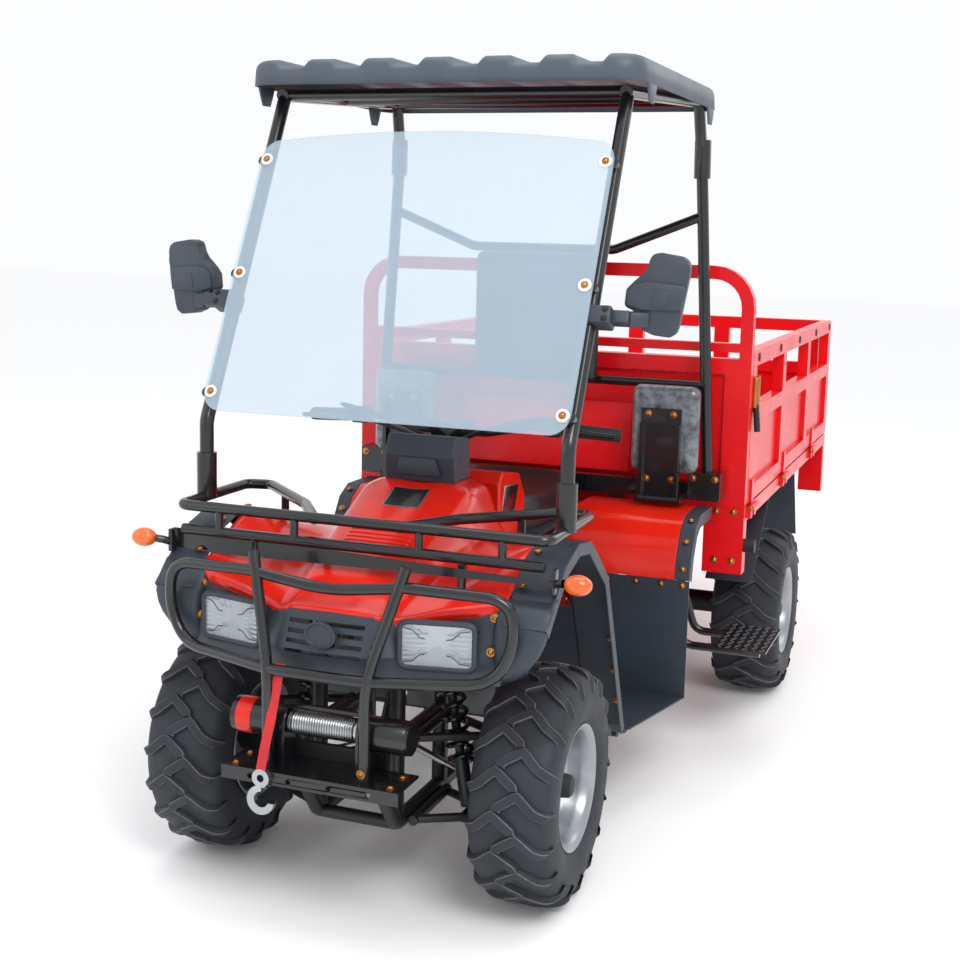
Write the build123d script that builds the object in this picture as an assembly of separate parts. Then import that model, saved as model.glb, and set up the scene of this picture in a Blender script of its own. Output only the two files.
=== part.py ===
from build123d import *
import math
import os

# A roofed farm quad with a drop-side cargo bed, in millimetres.
# +X is the vehicle's left, -Y its front and +Z up. Everything is drawn with y = 0 at the front
# axle and moved at the end, so that the origin lies on the ground under the middle of the box.

# Clearances
GAP = 0.3            # pieces that seat on each other without a weld
SWING = 6.0          # a moving piece and what it passes
TUBE_SIDES = 12      # flats of a round tube
BEND_STEPS = 4       # chords of a tube's bend

# Wheels
WHEELBASE = 1755.0
FRONT_TRACK = 788.0
REAR_TRACK = 1128.0
TYRE_DIAMETER = 534.0
FRONT_TYRE_WIDTH = 190.0
REAR_TYRE_WIDTH = 215.0
RIM_SIDES = 24
RIM_DIAMETER = 256.0
RIM_LIP = 12.0
RIM_LIP_THICKNESS = 4.0
RIM_INSET = 11.0
RIM_WALL = 5.0
DISH_DEPTH = 74.0
DISC_THICKNESS = 6.0
HUB_DIAMETER = 68.0
HUB_CAP_DIAMETER = 92.0
HUB_CAP_HEIGHT = 34.0
AXLE_DIAMETER = 35.0
TYRE_WALL = 22.0
SIDEWALL_DROP = 62.0
BEAD_WIDTH = 12.0
LUG_ROWS = 18
LUG_WIDTH = 22.0
# Share of the half width, lead along the tread, and drop of the carcass and of the lug's top
LUG_COLUMNS = [(-0.95, 18.0, 27.0, 17.0), (-0.5, -20.0, 15.0, 2.5), (0.0, 12.0, 12.0, 0.0),
               (0.5, -20.0, 15.0, 2.5), (0.95, 18.0, 27.0, 17.0)]

# Front suspension and steering
KINGPIN_X = 300.0
KNUCKLE_HEIGHT = 160.0
KNUCKLE_LENGTH = 50.0
KNUCKLE_WIDTH = 40.0
STEERING_ARM = 70.0
ARM_TUBE = 24.0
ARM_BOSS_HEIGHT = 28.0
ARM_SPREAD = 105.0
SPRING_FOOT_X = 222.0
PERCH_HALF = 45.0
LEG_DIAMETER = 46.0
SPRING_DIAMETER = 66.0
SPRING_TURNS = 7
COLUMN_LEAN = 30.0
COLUMN_DIAMETER = 28.0
COLUMN_FOOT_Y = 30.0
COLUMN_FOOT_Z = 350.0
PITMAN_LENGTH = 58.0
PITMAN_TUBE = 22.0
TIE_ROD_DIAMETER = 16.0
HANDLEBAR_HEIGHT = 985.0
HANDLEBAR_WIDTH = 844.0
HANDLEBAR_TUBE = 22.0
GRIP_DIAMETER = 34.0
GRIP_LENGTH = 125.0

# Chassis
RAIL_TUBE = 38.0
RAIL_X = 95.0
RAIL_Z = 170.0
UPPER_RAIL_Z = 620.0
TOWER_Y = 130.0
FRONT_PLATE_Y = -262.0
REAR_RAIL_X = 250.0
REAR_RAIL_WIDTH = 60.0
REAR_RAIL_HEIGHT = 80.0
REAR_RAIL_TOP = 600.0
REAR_RAIL_START = 1000.0
ENGINE_HALF_WIDTH = 130.0
BELT_COVER = 46.0

# Front bodywork
SKIN = 4.0
FENDER_X = 366.0
FLARE_X = 465.0
FLARE_LIP = 30.0
NOSE_LOW = 545.0
BAR_TUBE = 25.0
RACK_Z = 850.0
RACK_LOW_Z = 795.0
RACK_FRONT_Y = -153.0
RACK_SIDE_X = 442.0
PLATE_FRONT_Y = -372.0
PLATE_Z = 340.0
PLATE_HALF_WIDTH = 206.0
PLATE_THICKNESS = 6.0
WINCH_Y = -286.0
WINCH_Z = 432.0
HOOK_THICKNESS = 14.0

# Rider's place
FLOOR_Z = 235.0
LEG_WALL_Y = 800.0
LEG_WALL_X = 537.0
LEG_WALL_TOP = 560.0
FENDER_TOP = 722.0
SEAT_TOP = 810.0
SEAT_HALF_WIDTH = 160.0

# Roof and its posts
POST_TUBE = 33.0
POST_FOOT_Y = -37.0
POST_BEND_Z = 1030.0
POST_LEAN = 26.0
POST_DROP = 78.0
REAR_BEND_DROP = 185.0
CROSSBAR_DROP = 350.0
CROSSBAR_DIP = 98.0
BACKREST_LOW = 1062.0
REAR_POST_Y = 1095.0
ROOF_TOP = 1885.0
ROOF_FRONT_Y = 238.0
ROOF_REAR_Y = 1098.0
ROOF_HALF_WIDTH = 500.0
ROOF_PANEL = 14.0
ROOF_CHANNELS = 6
ROOF_CHANNEL_DEPTH = 8.0
SCREEN_THICKNESS = 4.0
SCREEN_HALF_WIDTH = 446.0
SCREEN_STANDOFF = 32.0
SCREEN_BOLTS = (0.07, 0.42, 0.77)         # shares of the posts' leaning run
MIRROR_CLAMP = 0.35

# Passenger seats
BEAM_Y = 1100.0
BEAM_Z = 734.0
BEAM_HEIGHT = 50.0
JUMP_X = (302.0, 500.0)
JUMP_PIVOT_Y = 990.0
JUMP_PIVOT_Z = 744.0
JUMP_PIN = 14.0

# Cargo bed
BED_FRONT_Y = 1172.0
BED_REAR_Y = 2955.0
BED_HALF_WIDTH = 611.0
SILL_LOW = 660.0
BEARER_REACH = 440.0
SILL_TOP = 703.0
WALL = 36.0
WALL_LOW = 709.0
WALL_TOP = 1157.0
MID_RAIL_Z = 965.0
RAIL_HEIGHT = 46.0
HEADBOARD_TOP = 1399.0
HEADBOARD_BEND = 120.0
ARCH_STEPS = 6
HINGE_RADIUS = 9.0
HINGE_OUT = 11.0
HINGE_Z = 697.0
BUFFER_LENGTH = 32.0
BUFFER_DIAMETER = 40.0

# Worked out from the sizes above
TYRE_RADIUS = TYRE_DIAMETER / 2
POST_TOP_Z = ROOF_TOP - POST_DROP
POST_RISE = POST_TOP_Z - POST_BEND_Z
FRONT_X = FRONT_TRACK / 2
UPPER_ARM_Z = TYRE_RADIUS + KNUCKLE_HEIGHT / 2 + 14
REAR_X = REAR_TRACK / 2
FRONT_REACH = -PLATE_FRONT_Y + GAP + HOOK_THICKNESS
REAR_REACH = BED_REAR_Y + BUFFER_LENGTH
FRONT_AXLE_Y = (FRONT_REACH - REAR_REACH) / 2


def block(x, y, z):
    """Box from its (low, high) limits on each axis."""
    size = Box(x[1] - x[0], y[1] - y[0], z[1] - z[0])
    return Pos((x[0] + x[1]) / 2, (y[0] + y[1]) / 2, (z[0] + z[1]) / 2) * size


def both_sides(solid):
    """A left-hand solid and its mirror image."""
    return [solid, mirror(solid, about=Plane.YZ)]


def fuse(solids):
    """One part from solids that run into each other."""
    return solids[0] + solids[1:]


def polyhedron(faces):
    """Solid from flat faces given by their corners."""
    return Solid(Shell([Face(Wire.make_polygon([Vector(*corner) for corner in face])) for face in faces]))


def folded(a, b, c, d):
    """Two triangles of a twisted field, folded on its short diagonal."""
    if math.dist(a, c) <= math.dist(b, d):
        return [[a, b, c], [a, c, d]]
    return [[a, b, d], [b, c, d]]


def skinned(rows, twisted=False):
    """Closed body through outlines of one point count; a twisted field is folded on its short diagonal."""
    faces = [rows[0], rows[-1]]
    count = len(rows[0])
    for low, high in zip(rows, rows[1:]):
        for here in range(count):
            there = (here + 1) % count
            a, b, c, d = low[here], low[there], high[there], high[here]
            faces += folded(a, b, c, d) if twisted else [[a, b, c, d]]
    return polyhedron(faces)


def bent_line(points, radius):
    """Points of a line whose corners are arcs of short chords."""
    points = [Vector(*point) for point in points]
    line = [points[0]]
    for before, corner, after in zip(points, points[1:], points[2:]):
        come = (corner - before).normalized()
        leave = (after - corner).normalized()
        turn = math.acos(come.dot(leave))
        start = corner - come * (radius * math.tan(turn / 2))
        inward = (leave - come * come.dot(leave)).normalized()
        for step in range(BEND_STEPS + 1):
            angle = turn * step / BEND_STEPS
            line.append(start + come * (radius * math.sin(angle)) + inward * (radius * (1 - math.cos(angle))))
    return line + [points[-1]]


def tube(points, diameter, bend):
    """Round bar along straight runs, with bends of one radius at its corners, mitred at each chord."""
    line = bent_line(points, bend)
    runs = [(end - start).normalized() for start, end in zip(line, line[1:])]
    plane = Plane(line[0], z_dir=runs[0])
    angles = [2 * math.pi * side / TUBE_SIDES for side in range(TUBE_SIDES)]
    row = [plane.from_local_coords(Vector(diameter / 2 * math.cos(a), diameter / 2 * math.sin(a), 0)) for a in angles]
    rows = [row]
    for spot, run, leave in zip(line[1:], runs, runs[1:] + runs[-1:]):
        mitre = run + leave
        row = [corner + run * ((spot - corner).dot(mitre) / run.dot(mitre)) for corner in row]
        rows.append(row)
    return skinned(rows)


def bar(start, end, diameter):
    """Straight round bar between two points."""
    run = Vector(*end) - Vector(*start)
    return extrude(Plane(start, z_dir=run) * RegularPolygon(diameter / 2, TUBE_SIDES), run.length, dir=run)


def round_bar(x_low, x_high, y, z, radius):
    """Flat-sided round bar along X."""
    return bar((x_low, y, z), (x_high, y, z), 2 * radius)


def axial(x_low, x_high, y, z, radius):
    """Cylinder along X."""
    place = Pos((x_low + x_high) / 2, y, z) * Rot(0, 90, 0)
    return place * Cylinder(radius, x_high - x_low)


def across(points, x_low, x_high):
    """Prism along X on a (y, z) outline."""
    face = Plane.YZ.offset(x_low) * Polygon(*points, align=None)
    return extrude(face, x_high - x_low, dir=(1, 0, 0))


def facing(points, y_low, y_high):
    """Prism along Y on an (x, z) outline."""
    face = Plane((0, y_low, 0), x_dir=(1, 0, 0), z_dir=(0, -1, 0)) * Polygon(*points, align=None)
    return extrude(face, y_high - y_low, dir=(0, 1, 0))


def upright(points, z_low, z_high):
    """Prism along Z on an (x, y) outline."""
    face = Plane.XY.offset(z_low) * Polygon(*points, align=None)
    return extrude(face, z_high - z_low, dir=(0, 0, 1))


def offset_line(points, distance):
    """Open line of (u, v) points moved sideways, to the right of its direction."""
    moved = []
    for index, (u, v) in enumerate(points):
        before = points[max(index - 1, 0)]
        after = points[min(index + 1, len(points) - 1)]
        run_u, run_v = after[0] - before[0], after[1] - before[1]
        length = math.hypot(run_u, run_v)
        moved.append((u + distance * run_v / length, v - distance * run_u / length))
    return moved


def strip(points, thickness):
    """Closed outline of a sheet that lies to the right of an open line."""
    return points + offset_line(points, thickness)[::-1]


def mirrored_line(half):
    """Whole left-to-right line from its half on the +X side, centre point first."""
    return [(-u, v) for u, v in half[:0:-1]] + half


def section_loft(stations, outline):
    """Flat-faceted solid through (x, z) outlines set at their y."""
    return skinned([[(u, y, v) for u, v in outline(mirrored_line(half))] for y, half in stations], twisted=True)


def round_x(x, radius, angle):
    """Point at an angle round the X axis."""
    return (x, radius * math.cos(angle), radius * math.sin(angle))


def ring(stations):
    """Flat-sided body round the X axis through (x, distance to flat) stations."""
    step = 2 * math.pi / RIM_SIDES
    rows = [[round_x(x, flat / math.cos(step / 2), (i + 0.5) * step) for i in range(RIM_SIDES)]
            for x, flat in stations]
    return skinned(rows)


def make_tyre(width, bead, lip, lip_back):
    """Open-backed tyre with zigzag lugs, as one flat-faced body round the X axis."""
    half = width / 2
    down = -math.pi / 2
    pitch = 2 * math.pi / LUG_ROWS
    middle_lead = LUG_COLUMNS[len(LUG_COLUMNS) // 2][1]
    edges = [(row, edge) for row in range(LUG_ROWS) for edge in (0, 1)]

    def line(row, edge, lead):
        return down + row * pitch + (edge * LUG_WIDTH + lead) / TYRE_RADIUS

    base, top = {}, {}
    for column, (share, lead, base_drop, top_drop) in enumerate(LUG_COLUMNS):
        for row, edge in edges:
            angle = line(row, edge, lead - middle_lead)
            base[row, edge, column] = round_x(share * half, TYRE_RADIUS - base_drop, angle)
            top[row, edge, column] = round_x(share * half, TYRE_RADIUS - top_drop, angle)

    faces = []

    def skin(a, b, c, d):
        faces.extend([[a, b, c], [a, c, d]])

    last = len(LUG_COLUMNS) - 1
    for row in range(LUG_ROWS):
        after = (row + 1) % LUG_ROWS
        first = row % 2
        lug = range(first, first + last - 1)
        for column in range(last):
            right = column + 1
            skin(base[row, 1, column], base[row, 1, right], base[after, 0, right], base[after, 0, column])
            if column not in lug:
                skin(base[row, 0, column], base[row, 0, right], base[row, 1, right], base[row, 1, column])
                continue
            skin(top[row, 0, column], top[row, 0, right], top[row, 1, right], top[row, 1, column])
            for edge in (0, 1):
                skin(base[row, edge, column], base[row, edge, right], top[row, edge, right], top[row, edge, column])
        for column in (lug[0], lug[-1] + 1):
            skin(base[row, 0, column], base[row, 1, column], top[row, 1, column], top[row, 0, column])

    widest = TYRE_RADIUS - SIDEWALL_DROP
    bead_x = lip_back - GAP
    rim_corner = 1 / math.cos(math.pi / RIM_SIDES)
    flat = math.cos((pitch - LUG_WIDTH / TYRE_RADIUS) / 2)
    bore = (bead * rim_corner + GAP) / flat
    rings = [(half, widest), (bead_x, (lip * rim_corner + GAP) / flat), (bead_x, bore), (bead_x - BEAD_WIDTH, bore),
             (half - 1.5 * TYRE_WALL, TYRE_RADIUS - 1.5 * TYRE_WALL)]
    inner = {}
    for side, column in ((-1, 0), (1, last)):
        for level, (x, radius) in enumerate(rings):
            for row, edge in edges:
                inner[side, level, row, edge] = round_x(side * x, radius, line(row, edge, 0))
        for index, here in enumerate(edges):
            there = edges[(index + 1) % len(edges)]
            skin(base[*here, column], base[*there, column], inner[side, 0, *there], inner[side, 0, *here])
            for level in range(len(rings) - 1):
                faces.append([inner[side, level, *here], inner[side, level, *there],
                              inner[side, level + 1, *there], inner[side, level + 1, *here]])
    deepest = len(rings) - 1
    for index, here in enumerate(edges):
        there = edges[(index + 1) % len(edges)]
        faces.append([inner[-1, deepest, *here], inner[-1, deepest, *there],
                      inner[1, deepest, *there], inner[1, deepest, *here]])
    return polyhedron(faces)


def make_wheel(width):
    """Tyre and dished steel rim round the X axis, with the outer side at +X."""
    half = width / 2
    lip_face = half - RIM_INSET
    lip_back = lip_face - RIM_LIP_THICKNESS
    bead = RIM_DIAMETER / 2
    lip = bead + RIM_LIP
    disc = lip_face - DISH_DEPTH
    disc_back = disc - DISC_THICKNESS
    tyre = make_tyre(width, bead, lip, lip_back)
    rim = ring([(-lip_face, bead), (lip_face, bead)])
    for side in (-1, 1):
        rim += ring([(side * lip_back, lip), (side * lip_face, lip)])
    rim -= ring([(disc, bead - 2 * RIM_WALL), (lip_back, bead - RIM_WALL)])
    rim -= ring([(lip_back, bead - RIM_WALL), (lip_face, bead)])
    rim -= ring([(-lip_face, bead - RIM_WALL), (disc_back, bead - RIM_WALL)])
    hub_back = disc_back - DISH_DEPTH / 2
    rim += ring([(hub_back, HUB_DIAMETER / 2), (disc, HUB_DIAMETER / 2)])
    rim += ring([(disc - 1, HUB_CAP_DIAMETER / 2), (disc + HUB_CAP_HEIGHT, HUB_CAP_DIAMETER / 3)])
    rim -= axial(hub_back, disc, 0, 0, AXLE_DIAMETER / 2 + GAP)
    return tyre, rim, hub_back, disc


def make_wheels():
    """Four wheels in place, and where their hubs start and end."""
    nodes = {}
    hubs = {}
    axles = [("front", FRONT_X, 0.0, FRONT_TYRE_WIDTH), ("rear", REAR_X, WHEELBASE, REAR_TYRE_WIDTH)]
    for axle, x, y, width in axles:
        tyre, rim, hub_back, hub_end = make_wheel(width)
        place = Pos(x, y, TYRE_RADIUS)
        for side, flip in (("left", False), ("right", True)):
            for name, solid in (("tyre", tyre), ("rim", rim)):
                placed = place * solid
                nodes[f"{name}_{axle}_{side}"] = mirror(placed, about=Plane.YZ) if flip else placed
        hubs[axle] = (x + hub_back, x + hub_end)
    return nodes, hubs


def make_front_suspension(hubs):
    """Knuckles, wishbones, spring legs and tie rods."""
    low = TYRE_RADIUS - KNUCKLE_HEIGHT / 2
    high = TYRE_RADIUS + KNUCKLE_HEIGHT / 2
    half_width, half_length = KNUCKLE_WIDTH / 2, KNUCKLE_LENGTH / 2
    hub_start, hub_end = hubs["front"]
    x_limits = (KINGPIN_X - half_width, KINGPIN_X + half_width)
    knuckle = block(x_limits, (-half_length, half_length), (low, high))
    knuckle += axial(KINGPIN_X, hub_start - GAP, 0, TYRE_RADIUS, HUB_DIAMETER / 2)
    knuckle += axial(KINGPIN_X, hub_end - GAP, 0, TYRE_RADIUS, AXLE_DIAMETER / 2)
    arm_low = low + 20
    arm_high = arm_low + 14
    arm_x = (x_limits[0], KINGPIN_X)
    knuckle += block(arm_x, (0, STEERING_ARM + 14), (arm_low, arm_high))

    pivot_x = RAIL_X + RAIL_TUBE / 2 + GAP + ARM_TUBE / 2
    legs = []
    boss_radius = KNUCKLE_WIDTH / 2 - 2
    for boss_low, inner_z in ((low - GAP - ARM_BOSS_HEIGHT, RAIL_Z), (high + GAP, UPPER_ARM_Z)):
        middle = boss_low + ARM_BOSS_HEIGHT / 2
        boss = Pos(KINGPIN_X, 0, middle) * Cylinder(boss_radius, ARM_BOSS_HEIGHT)
        pivot = bar((pivot_x, -ARM_SPREAD, inner_z), (pivot_x, ARM_SPREAD, inner_z), ARM_TUBE)
        wishbone = [boss, pivot]
        if inner_z == RAIL_Z:
            wishbone.append(spring_perch())
        for end in (-1, 1):
            inner = (pivot_x, end * (ARM_SPREAD - ARM_TUBE / 2), inner_z)
            wishbone.append(bar(inner, (KINGPIN_X, 0, middle), ARM_TUBE - 4))
        legs += both_sides(fuse(wishbone))

    stud = 10.0
    rod_z = arm_low - GAP - stud - TIE_ROD_DIAMETER / 2
    rod_x = KINGPIN_X - half_width / 2
    lean = math.radians(COLUMN_LEAN)
    tip_y = COLUMN_FOOT_Y + PITMAN_LENGTH * math.cos(lean)
    tip_z = COLUMN_FOOT_Z - PITMAN_LENGTH * math.sin(lean)
    inner_end = (TIE_ROD_DIAMETER, tip_y, tip_z - PITMAN_TUBE / 2 - SWING - 2 - stud - TIE_ROD_DIAMETER / 2)
    outer_end = (rod_x, STEERING_ARM, rod_z)
    rod = bar(inner_end, outer_end, TIE_ROD_DIAMETER)
    for end in (outer_end, inner_end):
        x, y, z = end
        rod += bar((x, y, z - TIE_ROD_DIAMETER / 2), (x, y, z + TIE_ROD_DIAMETER / 2), TIE_ROD_DIAMETER * 1.4)
        rod += bar(end, (x, y, z + TIE_ROD_DIAMETER / 2 + stud), 12)
    nodes = {
        "knuckle_left": knuckle,
        "knuckle_right": mirror(knuckle, about=Plane.YZ),
        "front_wishbones": legs,
        "tie_rods": both_sides(rod),
    }
    return nodes


def spring_perch():
    """Cross bar between the tubes of a lower wishbone, where its spring leg stands."""
    return bar((SPRING_FOOT_X, -PERCH_HALF, RAIL_Z), (SPRING_FOOT_X, PERCH_HALF, RAIL_Z), ARM_TUBE - 4)


def make_spring_legs():
    """Coil-over legs between the lower wishbones and the front towers."""
    head = Vector(RAIL_X + RAIL_TUBE / 2 + 34, 0, UPPER_RAIL_Z - 40)
    run = head - Vector(SPRING_FOOT_X, 0, RAIL_Z)
    lift = (ARM_TUBE - 4) / 2 + GAP + LEG_DIAMETER / 2 * abs(run.X) / run.length
    foot = head - run * ((run.length - lift) / run.length)
    leg = bar(tuple(foot), tuple(head), LEG_DIAMETER)
    step = (head - foot) * (0.55 / SPRING_TURNS)
    for turn in range(SPRING_TURNS):
        low = foot + (head - foot) * 0.33 + step * turn
        leg += bar(tuple(low), tuple(low + step * 0.5), SPRING_DIAMETER)
    leg += block((RAIL_X + RAIL_TUBE / 2 + GAP, head.X + 12), (-16, 16), (head.Z - 16, head.Z + 16))
    return {"front_spring_legs": both_sides(leg)}


def make_chassis():
    """Welded frame: twin tube cradle in front, box rails under the bed."""
    pieces = []
    plate_back = FRONT_PLATE_Y + 12
    for side in (-1, 1):
        x = side * RAIL_X
        rear_x = side * REAR_RAIL_X
        pieces.append(tube([
            (x, plate_back - 6, PLATE_Z),
            (x, -TOWER_Y, RAIL_Z),
            (x, 930, RAIL_Z),
            (rear_x, REAR_RAIL_START + 60, REAR_RAIL_TOP - REAR_RAIL_HEIGHT / 2),
        ], RAIL_TUBE, RAIL_TUBE))
        pieces.append(tube([
            (x, -TOWER_Y, RAIL_Z),
            (x, -TOWER_Y, UPPER_RAIL_Z),
            (x, 320, UPPER_RAIL_Z + 20),
            (x, 960, REAR_RAIL_TOP - 30),
            (rear_x, REAR_RAIL_START + 60, REAR_RAIL_TOP - REAR_RAIL_HEIGHT / 2),
        ], RAIL_TUBE, RAIL_TUBE))
        pieces.append(bar((x, TOWER_Y, RAIL_Z), (x, TOWER_Y, UPPER_RAIL_Z + 10), RAIL_TUBE))
        pieces.append(bar((x, 0, RAIL_Z + 360), (x, 0, UPPER_RAIL_Z), RAIL_TUBE))
        half = REAR_RAIL_WIDTH / 2
        pieces.append(block(
            (rear_x - half, rear_x + half),
            (REAR_RAIL_START, BED_REAR_Y - 60),
            (REAR_RAIL_TOP - REAR_RAIL_HEIGHT, REAR_RAIL_TOP)))
    outrigger = 30.0
    crossings = [
        (-TOWER_Y, UPPER_RAIL_Z, RAIL_X),
        (TOWER_Y, UPPER_RAIL_Z + 10, RAIL_X),
        (-TOWER_Y, RAIL_Z, RAIL_X),
        (520, FLOOR_Z - outrigger / 2 - GAP, 430),
        (740, FLOOR_Z - outrigger / 2 - GAP, 430),
    ]
    for y, z, reach in crossings:
        pieces.append(bar((-reach, y, z), (reach, y, z), outrigger))
    for y in (520, 740):
        for side in (-1, 1):
            pieces.append(bar((side * RAIL_X, y, RAIL_Z), (side * RAIL_X, y, FLOOR_Z - 15), outrigger))
    for y in (1080, 1500, 2080, 2840):
        z = REAR_RAIL_TOP - REAR_RAIL_HEIGHT / 2
        pieces.append(block((-REAR_RAIL_X, REAR_RAIL_X), (y - 25, y + 25), (z - 25, z + 25)))
    pieces.append(block((-130, 130), (FRONT_PLATE_Y, plate_back), (PLATE_Z - 40, PLATE_Z + 40)))
    lean = math.radians(COLUMN_LEAN)
    below = PITMAN_TUBE / 2 + GAP + outrigger / 2
    bearing_y = COLUMN_FOOT_Y - below * math.sin(lean)
    bearing_z = COLUMN_FOOT_Z - below * math.cos(lean)
    pieces.append(bar((-RAIL_X, bearing_y, bearing_z), (RAIL_X, bearing_y, bearing_z), outrigger))
    column_foot = Plane((0, COLUMN_FOOT_Y, COLUMN_FOOT_Z), z_dir=(0, math.sin(lean), math.cos(lean)))
    cup = Cylinder(COLUMN_DIAMETER / 2 + 4, outrigger, align=(Align.CENTER, Align.CENTER, Align.MAX))
    pieces.append(column_foot * Pos(0, 0, -PITMAN_TUBE / 2 - GAP) * cup)
    thinner, short, lug_half = 2.0, 6.0, 10.0
    for side in (-1, 1):
        x = side * (RAIL_X + thinner / 2)
        pieces.append(bar((x, short - TOWER_Y, UPPER_ARM_Z), (x, TOWER_Y - short, UPPER_ARM_Z), RAIL_TUBE - thinner))
        pieces.append(block((x - lug_half, x + lug_half), (bearing_y - lug_half, bearing_y + lug_half),
                            (bearing_z - short, UPPER_ARM_Z)))
    return fuse(pieces)


def make_engine():
    """Plain crankcase with a finned cylinder and a belt cover."""
    block_half = ENGINE_HALF_WIDTH
    engine = block((-block_half, block_half), (450, 820), (FLOOR_Z, 410))
    cylinder = block((-50, 50), (520, 620), (400, 560))
    engine += cylinder
    for level in range(5):
        z = 425 + level * 24
        engine += block((-68, 68), (502, 638), (z, z + 8))
    belt_cover = Pos(block_half, 640, 320) * Rot(0, 90, 0) * extrude(SlotOverall(330, 150, rotation=90), BELT_COVER)
    engine += belt_cover
    return engine


def make_rear_axle(hubs):
    """Live axle with its drive shaft, and the leaf springs that carry the bed rails."""
    hub_start, hub_end = hubs["rear"]
    tube_radius = 36.0
    y, z = WHEELBASE, TYRE_RADIUS
    axle = round_bar(-hub_start + GAP, hub_start - GAP, y, z, tube_radius)
    axle += axial(-hub_end + GAP, hub_end - GAP, y, z, AXLE_DIAMETER / 2)
    axle += round_bar(-65, 65, y, z, 105)
    axle += Pos(0, y - 60, z) * Box(110, 180, 130)
    shaft_end = (0, 800, 330)
    axle += bar((0, y - 140, z), shaft_end, 50) - block((-60, 60), (700, 820 + GAP), (200, 500))
    leaf_width = 50.0
    pad_half = 60.0
    spring_low = z + tube_radius + 24
    for side in (-1, 1):
        x = side * REAR_RAIL_X
        axle += block((x - 30, x + 30), (y - pad_half, y + pad_half), (z, spring_low - GAP))
    reach = 480.0
    end_z = REAR_RAIL_TOP - REAR_RAIL_HEIGHT - 70
    line = [(y - reach, end_z), (y - reach / 2, (end_z + spring_low) / 2 - 20), (y - pad_half, spring_low),
            (y + pad_half, spring_low), (y + reach / 2, (end_z + spring_low) / 2 - 20), (y + reach, end_z)]
    leaf = across(line + [(u, v + 26) for u, v in line[::-1]],
                  REAR_RAIL_X - leaf_width / 2, REAR_RAIL_X + leaf_width / 2)
    hanger_top = REAR_RAIL_TOP - REAR_RAIL_HEIGHT - GAP
    for end in (-1, 1):
        middle = y + end * (reach - 20)
        leaf += block((REAR_RAIL_X - 22, REAR_RAIL_X + 22), (middle - 22, middle + 22), (end_z + 10, hanger_top))
    springs = both_sides(leaf)
    return {"rear_axle": axle, "leaf_springs": springs}


HOOD_STATIONS = [
    (-290, [(0, 680), (96, 674), (126, 660), (250, 676), (FENDER_X, 672)]),
    (-150, [(0, 742), (106, 734), (140, 706), (252, 728), (FENDER_X, 742)]),
    (0, [(0, 806), (120, 796), (160, 748), (260, 766), (FENDER_X, 808)]),
    (110, [(0, 852), (128, 840), (170, 770), (262, 772), (FENDER_X, 800)]),
    (190, [(0, 883), (134, 868), (176, 772), (262, 758), (FENDER_X, 736)]),
    (300, [(0, 884), (134, 868), (180, 766), (262, 716), (FENDER_X, 676)]),
]

FLARE_LINE = [(-226, 680), (-190, 712), (-100, 788), (0, 818), (90, 806), (174, 746), (246, 690), (446, 262)]


def hood_under(drop):
    """Room above the hood's underside, lowered by a clearance."""
    def outline(line):
        under = offset_line(line, SKIN + drop)
        outside = FENDER_X + 200
        return [(-outside, 1200), (-outside, under[0][1])] + under + [(outside, under[-1][1]), (outside, 1200)]
    return section_loft(HOOD_STATIONS, outline)


def hood_height(x, y):
    """Height of the hood's top face over one spot."""
    spot = Vector(x, y)
    for (front, low), (back, high) in zip(HOOD_STATIONS, HOOD_STATIONS[1:]):
        corners = [[(u, front, v) for u, v in low], [(u, back, v) for u, v in high]]
        for a, b, c, d in zip(corners[0], corners[0][1:], corners[1][1:], corners[1]):
            for first, second, third in folded(a, b, c, d):
                along, beside = Vector(*second) - Vector(*first), Vector(*third) - Vector(*first)
                reach = spot - Vector(first[0], first[1])
                size = along.X * beside.Y - along.Y * beside.X
                u = (reach.X * beside.Y - reach.Y * beside.X) / size
                v = (along.X * reach.Y - along.Y * reach.X) / size
                if min(u, v, 1 - u - v) >= 0:
                    return first[2] + u * along.Z + v * beside.Z
    raise ValueError("spot lies off the hood")


NOSE_LINES = [
    (NOSE_LOW, [(0, -296), (100, -292), (165, -258), (330, -222), (FENDER_X - SKIN, -208)]),
    (600, [(0, -318), (108, -312), (172, -264), (335, -230), (FENDER_X - SKIN, -216)]),
    (760, [(0, -246), (100, -240), (162, -226), (335, -192), (FENDER_X - SKIN, -180)]),
]


def make_nose():
    """Moulded front panel with lamp openings and grille slots, and the lamps in it."""
    rows = []
    for z, half in NOSE_LINES:
        line = mirrored_line(half)
        rows.append([(u, v, z) for u, v in line + [(u, v + 2 * SKIN) for u, v in line[::-1]]])
    shell = skinned(rows, twisted=True) - hood_under(GAP)
    lamp_x, lamp_z = (168, 318), (590, 662)
    lamp_hole = block(lamp_x, (-400, -100), lamp_z)
    lamp_face = [(lamp_x[0] + GAP, -270), (lamp_x[1] - GAP, -240), (lamp_x[1] - GAP, -190), (lamp_x[0] + GAP, -205)]
    lamp = upright(lamp_face, lamp_z[0] + GAP, lamp_z[1] - GAP)
    for hole in both_sides(lamp_hole):
        shell -= hole
    slot = 9.0
    for level in range(4):
        z = 592 + level * 20
        shell -= block((-88, 88), (-400, -150), (z, z + slot))
    return {"nose_panel": shell, "headlamps": both_sides(lamp)}


def make_hood():
    """One-piece bonnet and fender tops."""
    skin = section_loft(HOOD_STATIONS, lambda line: strip(line, SKIN))
    edge = [(330, -206), (160, -246), (98, -268), (0, -276)]
    half = [(FENDER_X + SKIN, -178)] + edge
    cut = half + [(-u, v) for u, v in half[-2::-1]] + [(-FENDER_X - SKIN, -400), (FENDER_X + SKIN, -400)]
    wall = across([(20, 804), (110, 798), (190, 734), (236, 706), (278, 602), (20, 664)], FENDER_X - SKIN, FENDER_X)
    return fuse([skin - upright(cut, 500, 1000)] + both_sides(wall))


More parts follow.
